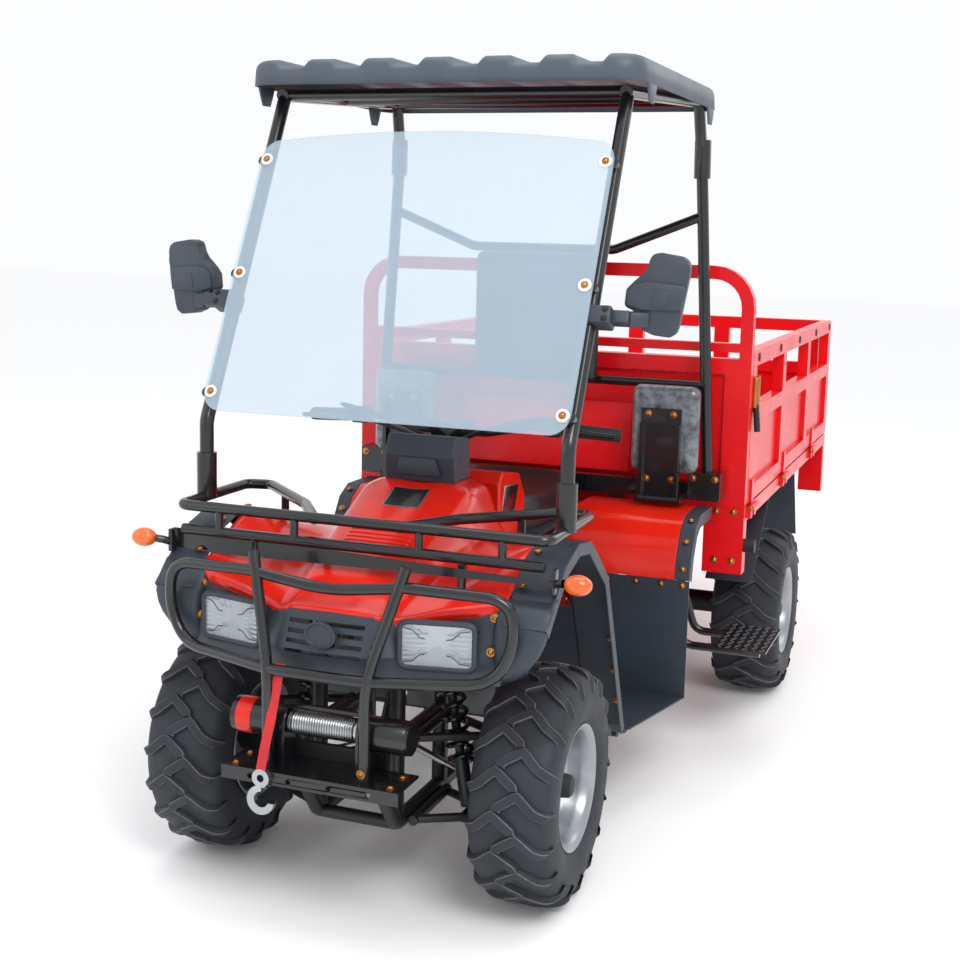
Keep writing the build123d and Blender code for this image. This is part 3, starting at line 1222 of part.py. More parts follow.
os.makedirs("parts", exist_ok=True)
for name, shape in make_all().items():
    pieces = shape if isinstance(shape, list) else [shape]
    solids = [solid for piece in pieces for solid in piece.solids()]
    export_step(Pos(0, FRONT_AXLE_Y, 0) * Compound(children=solids), f"parts/{name}.step")
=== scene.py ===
"""Looks of a roofed farm quad with a drop-side cargo bed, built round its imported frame."""

import logging
import math
from dataclasses import dataclass, field
from enum import Enum
from typing import Any, ClassVar, Sequence

import bmesh
import bpy
from mathutils import Matrix, Vector


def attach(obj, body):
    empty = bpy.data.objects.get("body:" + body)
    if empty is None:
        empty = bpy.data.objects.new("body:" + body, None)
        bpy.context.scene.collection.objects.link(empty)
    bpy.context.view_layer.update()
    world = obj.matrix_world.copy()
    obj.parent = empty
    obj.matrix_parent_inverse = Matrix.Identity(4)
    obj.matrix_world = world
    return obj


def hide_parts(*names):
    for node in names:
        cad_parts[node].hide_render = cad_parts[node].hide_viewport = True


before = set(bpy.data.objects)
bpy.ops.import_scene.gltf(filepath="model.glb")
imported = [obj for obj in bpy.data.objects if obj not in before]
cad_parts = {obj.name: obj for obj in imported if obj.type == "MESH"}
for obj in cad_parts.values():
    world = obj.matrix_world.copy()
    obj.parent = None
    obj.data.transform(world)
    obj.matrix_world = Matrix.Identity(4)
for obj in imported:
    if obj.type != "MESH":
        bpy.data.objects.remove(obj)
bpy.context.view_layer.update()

log = logging.getLogger("quad")
Point = tuple[float, float, float]
Pairs = Sequence[tuple[float, float]]
Faces = list[bmesh.types.BMFace]

MM = 0.001
PER_METRE = 1000
# The front axle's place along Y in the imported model, in millimetres.
FRONT_AXLE_Y = -1300.35
# Radius that closes a turned end, in millimetres.
TIP = 0.1
SIGNS = (-1, 1)
SIDES = (("left", 1), ("right", -1))
LEFT, UP = Vector((1, 0, 0)), Vector((0, 0, 1))
FORWARD, BACKWARD = Vector((0, -1, 0)), Vector((0, 1, 0))


def at(x: float, y: float, z: float) -> Vector:
    """Turn millimetres from the front axle into metres of the shared frame.

    Args:
        x: distance to the vehicle's left.
        y: distance behind the front axle.
        z: height above the ground.

    Returns:
        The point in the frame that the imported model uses.
    """
    return Vector((x, y + FRONT_AXLE_Y, z)) * MM


def on_side(sign: int, points: Sequence[Point]) -> list[Vector]:
    """Set points of the left side on either side.

    Args:
        sign: one for the left, minus one for the right.
        points: millimetres from the front axle.

    Returns:
        The points in the shared frame.
    """
    return [at(sign * x, y, z) for x, y, z in points]


def turns(count: int) -> list[float]:
    """Share a full turn into even steps.

    Args:
        count: the number of steps.

    Returns:
        The angle at the start of each step, in radians.
    """
    return [2 * math.pi * step / count for step in range(count)]


def shares(half: int) -> list[float]:
    """Divide the stretch from minus one to one evenly.

    Args:
        half: the number of steps on each side of zero.

    Returns:
        The ends of all steps.
    """
    return [step / half for step in range(-half, half + 1)]


def eased(share: float) -> float:
    """Round off both ends of a ramp.

    Args:
        share: the place on the ramp, held between zero and one.

    Returns:
        The ramp's height, from zero to one.
    """
    held = min(max(share, 0.0), 1.0)
    return 3 * held ** 2 - 2 * held ** 3


def linear(colour: str) -> tuple[float, float, float, float]:
    """Turn an sRGB hex colour into linear RGBA.

    Args:
        colour: six hex digits after a hash.

    Returns:
        Linear red, green, blue and an alpha of one.
    """
    values = [int(colour[i:i + 2], 16) / 255 for i in (1, 3, 5)]
    red, green, blue = (v / 12.92 if v <= 0.04045 else ((v + 0.055) / 1.055) ** 2.4 for v in values)
    return red, green, blue, 1.0


def add_node(tree: bpy.types.NodeTree, kind: str, inputs: dict[Any, Any] | None = None,
             **settings: Any) -> bpy.types.Node:
    """Add one shader node with its settings, values and links.

    Args:
        tree: the node tree that gets the node.
        kind: the node's type name.
        inputs: socket name or index against a value, or an output socket to link from.
        settings: the node's own properties.

    Returns:
        The new node.
    """
    node = tree.nodes.new(kind)
    for name, value in settings.items():
        setattr(node, name, value)
    for key, value in (inputs or {}).items():
        if isinstance(value, bpy.types.NodeSocket):
            tree.links.new(value, node.inputs[key])
        else:
            node.inputs[key].default_value = value
    return node


class Grain(Enum):
    """How a surface was made, which sets the shape of its fine relief."""

    SPRAYED = "orange peel of sprayed paint"
    MOULDED = "leathery grain of a textured mould"
    CAST = "sand of a casting"
    PLAIN = "polished tool face"


@dataclass(frozen=True)
class Finish:
    """One real material and the process that made its surface.

    Lengths are in millimetres, colours in sRGB hex. Moulded and cast grain is too fine to show from the
    camera's distance, so it is drawn two to three times as coarse as it is.
    """

    name: str
    colour: str
    shade: str
    roughness: float
    metallic: float = 0.0
    ior: float = 1.5
    coat: float = 0.0
    grain: Grain = Grain.SPRAYED
    grain_mm: float = 3.0
    relief_mm: float = 0.02
    cloud_mm: float = 160.0
    # Colour of a painted highlight laid on marked faces; empty for none
    painted_highlight: str = ""
    alpha: float = 1.0
    transmission: float = 0.0
    sheen: float = 0.0

    # Stretches of the cloud noise over which the colour and the gloss change
    COLOUR_STRETCH: ClassVar[tuple[float, float]] = (0.34, 0.62)
    GLOSS_STRETCH: ClassVar[tuple[float, float]] = (0.3, 0.7)
    # Roughness of the dullest and the glossiest spots, against the finish's own
    DULL: ClassVar[float] = 1.18
    GLOSSY: ClassVar[float] = 0.88
    COAT_ROUGHNESS: ClassVar[float] = 0.06
    # Width of the specks in a painted highlight
    SPECK_MM: ClassVar[float] = 7.0

    def material(self) -> bpy.types.Material:
        """Return the Blender material, made on first use."""
        found = bpy.data.materials.get(self.name)
        return found if found else self._make()

    def _make(self) -> bpy.types.Material:
        """Build the node tree of this finish.

        Returns:
            The new material.
        """
        material = bpy.data.materials.new(self.name)
        material.use_nodes = True
        tree = material.node_tree
        tree.nodes.clear()
        place = add_node(tree, "ShaderNodeTexCoord").outputs["Object"]
        cloud = add_node(tree, "ShaderNodeTexNoise", {
            "Vector": place, "Scale": PER_METRE / self.cloud_mm, "Detail": 5.0, "Roughness": 0.62})
        spread = add_node(tree, "ShaderNodeValToRGB", {0: cloud.outputs[0]})
        stops = zip(spread.color_ramp.elements, self.COLOUR_STRETCH, (self.shade, self.colour))
        for stop, position, tint in stops:
            stop.position = position
            stop.color = linear(tint)
        colour = spread.outputs[0]
        # Faces marked for it get a paler painted highlight mixed into the colour
        if self.painted_highlight:
            colour = self._with_painted_highlight(tree, place, colour)
        gloss = add_node(tree, "ShaderNodeMapRange", {
            0: cloud.outputs[0], 1: self.GLOSS_STRETCH[0], 2: self.GLOSS_STRETCH[1],
            3: self.roughness * self.DULL, 4: self.roughness * self.GLOSSY})
        shader = add_node(tree, "ShaderNodeBsdfPrincipled", {
            "Base Color": colour, "Roughness": gloss.outputs[0], "Metallic": self.metallic,
            "Coat Weight": self.coat, "Coat Roughness": self.COAT_ROUGHNESS, "Alpha": self.alpha,
            "Transmission Weight": self.transmission, "Sheen Weight": self.sheen})
        if not self.metallic:
            shader.inputs["IOR"].default_value = self.ior
        height = self._relief(tree, place)
        if height is not None:
            bump = add_node(tree, "ShaderNodeBump", {
                "Height": height, "Distance": self.relief_mm * MM, "Strength": 1.0})
            tree.links.new(bump.outputs[0], shader.inputs["Normal"])
        add_node(tree, "ShaderNodeOutputMaterial", {0: shader.outputs[0]})
        return material

    def _with_painted_highlight(self, tree: bpy.types.NodeTree, place: bpy.types.NodeSocket,
                 colour: bpy.types.NodeSocket) -> bpy.types.NodeSocket:
        """Speckle a paler painted highlight over the faces marked for it.

        Args:
            tree: the material's node tree.
            place: the coordinates the pattern lies in, in metres.
            colour: the colour of the rest.

        Returns:
            The socket of the mixed colour.
        """
        highlit = add_node(tree, "ShaderNodeAttribute", attribute_name="painted_highlight")
        speck = add_node(tree, "ShaderNodeTexNoise", {
            "Vector": place, "Scale": PER_METRE / self.SPECK_MM, "Detail": 3.0})
        share = add_node(tree, "ShaderNodeMath", {
            0: highlit.outputs["Fac"], 1: speck.outputs[0]}, operation="MULTIPLY")
        mix = add_node(tree, "ShaderNodeMix", {
            "Factor": share.outputs[0], "A": colour, "B": linear(self.painted_highlight)}, data_type="RGBA")
        return mix.outputs["Result"]

    def _relief(self, tree: bpy.types.NodeTree, place: bpy.types.NodeSocket) -> bpy.types.NodeSocket | None:
        """Add the fine relief that the process leaves.

        Args:
            tree: the material's node tree.
            place: the coordinates the pattern lies in, in metres.

        Returns:
            The height socket, or None for a polished face.
        """
        scale = PER_METRE / self.grain_mm
        if self.grain is Grain.PLAIN:
            return None
        if self.grain is Grain.MOULDED:
            cells = add_node(tree, "ShaderNodeTexVoronoi", {"Vector": place, "Scale": scale},
                             feature="SMOOTH_F1")
            return cells.outputs["Distance"]
        detail = 6.0 if self.grain is Grain.CAST else 1.0
        return add_node(tree, "ShaderNodeTexNoise", {
            "Vector": place, "Scale": scale, "Detail": detail}).outputs[0]


# Gloss enamel sprayed on sheet steel: bright red, wet highlights with a faint orange peel.
RED_ENAMEL = Finish("enamel_red_sprayed", "#DE1219", "#D51017", 0.28, ior=1.34, coat=0.12, grain_mm=5.0,
                    relief_mm=0.03)
# Self-coloured ABS from a polished mould: warmer red, sharp highlights, almost no relief.
RED_ABS = Finish("abs_red_moulded", "#E2220E", "#D21B0B", 0.2, ior=1.4, coat=0.25, grain_mm=9.0,
                 relief_mm=0.03)
# Polypropylene from a grained mould: dark blue-grey, broad sheen, fine leather grain.
DARK_PP = Finish("polypropylene_slate_moulded", "#2F3742", "#272E38", 0.46, grain=Grain.MOULDED,
                 grain_mm=2.2, relief_mm=0.1)
# The roof moulding is the same plastic, a little greyer from its matt tool.
ROOF_PP = Finish("polypropylene_grey_moulded", "#46505C", "#434D58", 0.46, grain=Grain.MOULDED,
                 grain_mm=2.6, relief_mm=0.12)
# Black polyester powder coat on tube: deep gloss with a soft orange peel.
BLACK_COAT = Finish("powder_coat_black_gloss", "#121417", "#0C0E10", 0.24, coat=0.35, grain_mm=4.0,
                    relief_mm=0.05)
# Chassis paint: satin black with a broad dull sheen.
BLACK_FRAME = Finish("chassis_paint_black_satin", "#191A1D", "#121315", 0.42, grain_mm=6.0, relief_mm=0.06)
# Natural rubber compound from the mould: blue-black, matt, with a paler painted highlight on the lug edges.
TYRE_RUBBER = Finish("rubber_tyre_moulded", "#20262F", "#171B22", 0.62, grain=Grain.CAST, grain_mm=5.0,
                     relief_mm=0.12, painted_highlight="#7B7876")
# Soft moulded rubber of grips, cables and buffers: black, dull.
BLACK_RUBBER = Finish("rubber_black_moulded", "#17181A", "#101113", 0.6, grain=Grain.CAST, grain_mm=3.0,
                      relief_mm=0.06)
# Silver wheel enamel on pressed steel: metallic flake under a clear coat.
RIM_SILVER = Finish("wheel_enamel_silver", "#9DA1A6", "#8B8F94", 0.34, metallic=0.85, coat=0.2,
                    grain_mm=3.0, relief_mm=0.02)
# Zinc plate with yellow passivation on bolts: brassy, slightly mottled.
YELLOW_ZINC = Finish("zinc_plate_yellow", "#C58A4E", "#A86B38", 0.3, metallic=1.0, grain_mm=2.0,
                     relief_mm=0.02)
# Bright zinc on rods, rope and nuts: pale grey, clear highlights.
BRIGHT_ZINC = Finish("zinc_plate_bright", "#B9BCBE", "#9EA1A4", 0.28, metallic=1.0, grain_mm=2.0,
                     relief_mm=0.02)
# Sand-cast aluminium of the crankcase: grey, grainy.
CAST_ALLOY = Finish("aluminium_sand_cast", "#8A8D90", "#6F7275", 0.5, metallic=0.9, grain=Grain.CAST,
                    grain_mm=2.5, relief_mm=0.15)
# Calendered PVC on foam: black with a fine leather print.
SEAT_VINYL = Finish("pvc_leathercloth_black", "#1B1C1F", "#131416", 0.42, grain=Grain.MOULDED,
                    grain_mm=1.8, relief_mm=0.12)
# Clear polycarbonate sheet: pale blue, hazy, shows what is behind it.
CLEAR_SHEET = Finish("polycarbonate_clear_extruded", "#B9CCDA", "#B7CAD8", 0.1, ior=1.3,
                     grain=Grain.PLAIN, alpha=0.4)
# Amber acrylic of the turn lamps: bright orange with a prismed face.
AMBER_LENS = Finish("acrylic_amber_moulded", "#F2701A", "#E85F10", 0.14, coat=0.5, grain=Grain.MOULDED,
                    grain_mm=6.0, relief_mm=0.3, transmission=0.25)
# Red acrylic of the tail lamps: deep red with a prismed face.
RED_LENS = Finish("acrylic_red_moulded", "#B0121A", "#900D14", 0.14, coat=0.5, grain=Grain.MOULDED,
                  grain_mm=6.0, relief_mm=0.3, transmission=0.2)
# Clear polycarbonate over the headlamps: thin, sharp highlights.
LAMP_LENS = Finish("polycarbonate_lamp_lens", "#E9EEF2", "#DCE3E9", 0.06, ior=1.58, grain=Grain.PLAIN,
                   alpha=0.22)
# Aluminium vapour on the reflectors: bright, a little soft.
LAMP_PLATE = Finish("aluminium_vapour_plated", "#9CA2A8", "#868C93", 0.2, metallic=1.0, grain=Grain.PLAIN)
# Silvered glass in the mirrors: a clean reflection.
MIRROR_GLASS = Finish("glass_silvered", "#DDE2E6", "#D5DBE0", 0.04, metallic=1.0, grain=Grain.PLAIN)
# Glass-filled polypropylene of mirror shells and clamps: dark slate, matt tool.
MIRROR_PP = Finish("polypropylene_glass_filled_moulded", "#343C47", "#2C343E", 0.48, grain=Grain.MOULDED,
                   grain_mm=2.0, relief_mm=0.08)
# Woven polyester strap, dyed red: matt with a coarse weave.
RED_WEBBING = Finish("polyester_webbing_woven", "#D01820", "#B0121A", 0.7, grain=Grain.MOULDED,
                     grain_mm=1.6, relief_mm=0.3, sheen=0.3)
# Nylon washers, natural white: smooth, faintly waxy.
WHITE_NYLON = Finish("nylon_white_moulded", "#ECECE8", "#E2E2DE", 0.4, grain=Grain.PLAIN)
# Black leathercloth still in its clear packing film: glossy and crinkled; the film's grey highlights are
# painted into the colour as pale patches over the black.
SEAT_FILM = Finish("pvc_leathercloth_in_film", "#6F757C", "#2A2C30", 0.3, coat=0.9, grain=Grain.CAST,
                   grain_mm=34.0, relief_mm=4.0, cloud_mm=26.0)


# The nodes that are shown as they are packed, by finish.
FINISH_NODES: dict[Finish, tuple[str, ...]] = {
    RED_ENAMEL: ("bed_floor", "headboard", "side_panel_left", "side_panel_right", "tailgate"),
    RED_ABS: ("rear_fenders", "tank_cover"),
    DARK_PP: ("nose_panel", "front_flares", "footwells", "rear_fender_trims", "dash_pod", "rear_mudguards",
              "seat_pan"),
    BLACK_COAT: ("front_rack", "front_posts", "rear_posts", "rear_crossbar", "roof_rails", "seat_beam",
                 "jump_seat_bracket_left", "jump_seat_bracket_right", "winch_plate", "winch", "handlebar",
                 "steps"),
    BLACK_FRAME: ("chassis_frame", "front_wishbones", "rear_axle", "leaf_springs", "knuckle_left",
                  "knuckle_right", "exhaust"),
    BLACK_RUBBER: ("grips", "buffers"),
    RED_LENS: ("tail_lamps",),
    CAST_ALLOY: ("engine",),
    BRIGHT_ZINC: ("winch_drum", "winch_hook", "tie_rods"),
}


# Widths of the rounded edges on moulded and cast nodes, and on all others, in millimetres.
EASED_MM: dict[str, float] = {
    "tank_cover": 16.0, "dash_pod": 9.0, "engine": 7.0, "footwells": 3.0, "seat_pan": 4.0,
    "rear_fender_trims": 3.0, "front_flares": 3.0, "nose_panel": 4.0,
}
EASE_MM = 1.5


class Axis(Enum):
    """The direction a prism is drawn along."""

    X = "across the vehicle"
    Y = "along the vehicle"

    def place(self, u: float, v: float, depth: float) -> Vector:
        """Set an outline's point at its depth.

        Args:
            u: first coordinate of the outline.
            v: second coordinate of the outline.
            depth: distance along this axis.

        Returns:
            The point in the shared frame.
        """
        return at(depth, u, v) if self is Axis.X else at(u, depth, v)


class Head(Enum):
    """Bolt heads by what they hold, as width and height in millimetres."""

    COVER = (9.0, 4.0)
    CLAMP = (10.0, 5.0)
    TRIM = (11.0, 4.0)
    HINGE = (12.0, 4.0)
    SCREEN = (12.0, 6.0)
    PANEL = (13.0, 5.0)
    FLANGE = (13.0, 6.0)
    BRACKET = (14.0, 6.0)
    FRAME = (15.0, 7.0)
    WHEEL = (17.0, 12.0)


class Piece:
    """One mesh in the making, with the tools that shape it."""

    # Width of a washer against its bolt head, and steps along each edge of a cushion
    WASHER = 1.45
    CUTS = 22

    def __init__(self, name: str) -> None:
        """Start an empty mesh.

        Args:
            name: the piece's name in the scene.
        """
        self.name = name
        self.shape = bmesh.new()
        self.painted_highlight_faces: Faces = []

    def grid(self, rows: Sequence[Sequence[Vector]], closed: bool = False) -> Faces:
        """Skin rows of points with quads.

        Args:
            rows: lines of points, all of one length.
            closed: whether each row joins its own end to its start.

        Returns:
            The new faces.
        """
        verts = [[self.shape.verts.new(point) for point in row] for row in rows]
        count = len(verts[0])
        faces = []
        for low, high in zip(verts, verts[1:]):
            for j in range(count if closed else count - 1):
                k = (j + 1) % count
                faces.append(self.shape.faces.new((low[j], low[k], high[k], high[j])))
        return faces

    def lathe(self, profile: Pairs, centre: Vector, along: Vector, segments: int = 96) -> Faces:
        """Turn a profile round an axis.

        Args:
            profile: (distance along the axis, radius) in millimetres.
            centre: the axis's zero point.
            along: the axis's direction.
            segments: steps round the axis.

        Returns:
            The new faces.
        """
        axis = along.normalized()
        side = axis.orthogonal().normalized()
        up = axis.cross(side)
        spokes = [side * math.cos(angle) + up * math.sin(angle) for angle in turns(segments)]
        rows = [[centre + (axis * distance + spoke * radius) * MM for spoke in spokes]
                for distance, radius in profile]
        return self.grid(rows, closed=True)

    def tube(self, points: Sequence[Vector], radius: float, segments: int = 12, capped: bool = True) -> Faces:
        """Sweep a round bar along points.

        Args:
            points: the bar's centre line, in metres.
            radius: in millimetres.
            segments: sides of the bar.
            capped: whether its ends are closed.

        Returns:
            The new faces.
        """
        rows = []
        side = None
        for index, point in enumerate(points):
            run = (points[min(index + 1, len(points) - 1)] - points[max(index - 1, 0)]).normalized()
            side = run.orthogonal() if side is None else side - run * side.dot(run)
            side = side.normalized()
            up = run.cross(side)
            rows.append([point + (side * math.cos(angle) + up * math.sin(angle)) * radius * MM
                         for angle in turns(segments)])
        faces = self.grid(rows, closed=True)
        if capped:
            self.shape.verts.ensure_lookup_table()
            count = len(self.shape.verts)
            last = [self.shape.verts[count - segments + k] for k in range(segments)]
            first = [self.shape.verts[count - segments * len(rows) + k] for k in range(segments)]
            faces.append(self.shape.faces.new(last))
            faces.append(self.shape.faces.new(first[::-1]))
        return faces

    def box(self, centre: Vector, size: Point, turn: Matrix | None = None, round_mm: float = EASE_MM) -> None:
        """Add a block with eased edges.

        Args:
            centre: its middle, in metres.
            size: its lengths along X, Y and Z, in millimetres.
            turn: a rotation of the block about its middle.
            round_mm: the width of its eased edges.
        """
        place = Matrix.Translation(centre)
        if turn is not None:
            place = place @ turn.to_4x4()
        scale = Matrix.Diagonal((size[0] * MM, size[1] * MM, size[2] * MM, 1))
        made = bmesh.ops.create_cube(self.shape, size=1.0, matrix=place @ scale)
        self._ease({edge for vert in made["verts"] for edge in vert.link_edges}, round_mm)

    def prism(self, outline: Pairs, low: float, high: float, axis: Axis, round_mm: float = EASE_MM) -> None:
        """Draw an outline along an axis.

        Args:
            outline: points in the plane across the axis, in millimetres.
            low: where the prism starts.
            high: where it ends.
            axis: the direction it is drawn along.
            round_mm: the width of its eased edges.
        """
        near, far = [[self.shape.verts.new(axis.place(u, v, depth)) for u, v in outline]
                     for depth in (low, high)]
        faces = [self.shape.faces.new(near), self.shape.faces.new(far[::-1])]
        for here in range(len(outline)):
            there = (here + 1) % len(outline)
            faces.append(self.shape.faces.new((near[here], near[there], far[there], far[here])))
        self._ease({edge for face in faces for edge in face.edges}, round_mm)

    def _ease(self, edges: set[bmesh.types.BMEdge], round_mm: float) -> None:
        """Round off edges.

        Args:
            edges: the sharp edges.
            round_mm: the width of the rounding.
        """
        bmesh.ops.bevel(self.shape, geom=list(edges), offset=round_mm * MM, segments=2, profile=0.5,
                        affect="EDGES")

    def bolt(self, foot: Vector, along: Vector, head: Head) -> None:
        """Set a domed bolt head on its washer.

        Args:
            foot: the middle of the washer's seat.
            along: the way the head points.
            head: the size of the head.
        """
        wide, high = head.value
        half = wide / 2
        washer = half * self.WASHER
        self.lathe([(-0.5, washer), (1.4, washer), (1.6, half)], foot, along, 24)
        dome = [(1.2, half), (high * 0.55, half * 0.96), (high * 0.85, half * 0.7), (high, TIP)]
        self.lathe(dome, foot, along, 16)

    def cushion(self, low: Point, high: Point, round_mm: float, bulge_mm: float) -> None:
        """Fill an empty mesh with a stuffed block.

        Args:
            low: its lower corner, in millimetres from the front axle.
            high: its upper corner.
            round_mm: the radius of its edges.
            bulge_mm: how far its broad faces swell.
        """
        bmesh.ops.create_cube(self.shape, size=2.0)
        bmesh.ops.subdivide_edges(self.shape, edges=self.shape.edges[:], cuts=self.CUTS, use_grid_fill=True)
        half = [(b - a) / 2 for a, b in zip(low, high)]
        middle = [(a + b) / 2 for a, b in zip(low, high)]
        thin = half.index(min(half))
        wide = [i for i in range(3) if i != thin]
        reach = [size - (bulge_mm if i == thin else 0) for i, size in enumerate(half)]
        for vert in self.shape.verts:
            unit = vert.co.copy()
            spot = Vector([u * r for u, r in zip(unit, reach)])
            core = Vector([max(min(c, r - round_mm), round_mm - r) for c, r in zip(spot, reach)])
            off = spot - core
            if off.length > 0:
                spot = core + off.normalized() * round_mm
            if abs(unit[thin]) > 0.99:
                swell = (1 - unit[wide[0]] ** 2) * (1 - unit[wide[1]] ** 2)
                spot[thin] += math.copysign(1, unit[thin]) * bulge_mm * swell
            vert.co = at(*(spot[i] + middle[i] for i in range(3)))

    def weld(self, gap_mm: float) -> None:
        """Join points that lie together.

        Args:
            gap_mm: how far apart they may be.
        """
        bmesh.ops.remove_doubles(self.shape, verts=self.shape.verts[:], dist=gap_mm * MM)

    def finish(self, finish: Finish, body: str, slot: str = "", replaces: Sequence[str] = (),
               smooth_deg: float = 40.0) -> bpy.types.Object:
        """Close the mesh and put it on its body.

        Args:
            finish: the piece's material.
            body: the body it moves with.
            slot: the record's material slot, if it has one; not used.
            replaces: the nodes it stands for.
            smooth_deg: the angle above which an edge stays sharp.

        Returns:
            The piece's object.
        """
        bmesh.ops.recalc_face_normals(self.shape, faces=self.shape.faces)
        self.shape.faces.index_update()
        # Faces marked for a painted highlight get a face attribute that their material reads
        highlit = {face.index for face in self.painted_highlight_faces}
        mesh = bpy.data.meshes.new(self.name)
        self.shape.to_mesh(mesh)
        self.shape.free()
        if highlit:
            layer = mesh.attributes.new("painted_highlight", "FLOAT", "FACE")
            layer.data.foreach_set("value", [1.0 if i in highlit else 0.0 for i in range(len(mesh.polygons))])
        mesh.polygons.foreach_set("use_smooth", [True] * len(mesh.polygons))
        mesh.set_sharp_from_angle(angle=math.radians(smooth_deg))
        mesh.materials.append(finish.material())
        piece = bpy.data.objects.new(self.name, mesh)
        bpy.context.scene.collection.objects.link(piece)
        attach(piece, body)
        if replaces:
            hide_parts(*replaces)
        log.info("%s rides on %s", self.name, body)
        return piece


def dress(node: str, finish: Finish, ease_mm: float) -> None:
    """Give a carried-over node its material and eased edges.

    Args:
        node: the node's name.
        finish: its material.
        ease_mm: the width of its eased edges.
    """
    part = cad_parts[node]
    mesh = part.data
    mesh.materials.clear()
    mesh.materials.append(finish.material())
    normals = mesh.attributes.get("custom_normal")
    if normals:
        mesh.attributes.remove(normals)
    mesh.polygons.foreach_set("use_smooth", [True] * len(mesh.polygons))
    weld = part.modifiers.new("weld", "WELD")
    weld.merge_threshold = 0.01 * MM
    ease = part.modifiers.new("ease", "BEVEL")
    ease.width = ease_mm * MM
    ease.segments = 2
    ease.limit_method = "ANGLE"
    ease.angle_limit = math.radians(32)
    ease.harden_normals = True
    ease.use_clamp_overlap = True


def thicken(skin: bpy.types.Object, thickness: float) -> None:
    """Give a skin the thickness of its sheet.

    Args:
        skin: the piece, made as the sheet's outer face.
        thickness: in millimetres.
    """
    sheet = skin.modifiers.new("sheet", "SOLIDIFY")
    sheet.thickness = thickness * MM
    sheet.offset = -1


def blend_through(knots: Pairs, place: float) -> float:
    """Read a smooth curve through knots.

    Args:
        knots: (place, value) pairs in rising order.
        place: where the curve is read, held within the knots.

    Returns:
        The curve's value.
    """
    place = min(max(place, knots[0][0]), knots[-1][0])
    index = max(i for i, knot in enumerate(knots[:-1]) if knot[0] <= place)

    def slope(i: int) -> float:
        """Return the curve's slope at one knot."""
        low, high = knots[max(i - 1, 0)], knots[min(i + 1, len(knots) - 1)]
        return (high[1] - low[1]) / (high[0] - low[0])

    (start, first), (end, last) = knots[index], knots[index + 1]
    span = end - start
    t = (place - start) / span
    return ((2 * t ** 3 - 3 * t ** 2 + 1) * first + (t ** 3 - 2 * t ** 2 + t) * span * slope(index)
            + (3 * t ** 2 - 2 * t ** 3) * last + (t ** 3 - t ** 2) * span * slope(index + 1))


def bent(points: Sequence[Point], bend: float, steps: int = 10) -> list[Vector]:
    """Round the corners of a line.

    Args:
        points: the line's corners, in millimetres from the front axle.
        bend: how far from each corner its curve starts, in millimetres.
        steps: the number of steps in each curve.

    Returns:
        The line with curved corners, in metres.
    """
    line = [Vector(point) for point in points]
    path = [line[0]]
    for before, corner, after in zip(line, line[1:], line[2:]):
        start = corner + (before - corner).normalized() * min(bend, (before - corner).length / 2)
        end = corner + (after - corner).normalized() * min(bend, (after - corner).length / 2)
        for step in range(steps + 1):
            t = step / steps
            path.append(start * (1 - t) ** 2 + corner * 2 * t * (1 - t) + end * t ** 2)
    path.append(line[-1])
    return [at(*point) for point in path]


def rounded(half_width: float, half_height: float, radius: float,
            steps: int = 6) -> list[tuple[float, float]]:
    """Outline of a rectangle with round corners.

    Args:
        half_width: half its width.
        half_height: half its height.
        radius: of its corners.
        steps: the number of steps in each corner.

    Returns:
        Points in order round the outline.
    """
    points = []
    for quarter, (u, v) in enumerate(((1, 1), (-1, 1), (-1, -1), (1, -1))):
        for step in range(steps + 1):
            angle = math.pi / 2 * (quarter + step / steps)
            points.append((u * (half_width - radius) + radius * math.cos(angle),
                           v * (half_height - radius) + radius * math.sin(angle)))
    return points


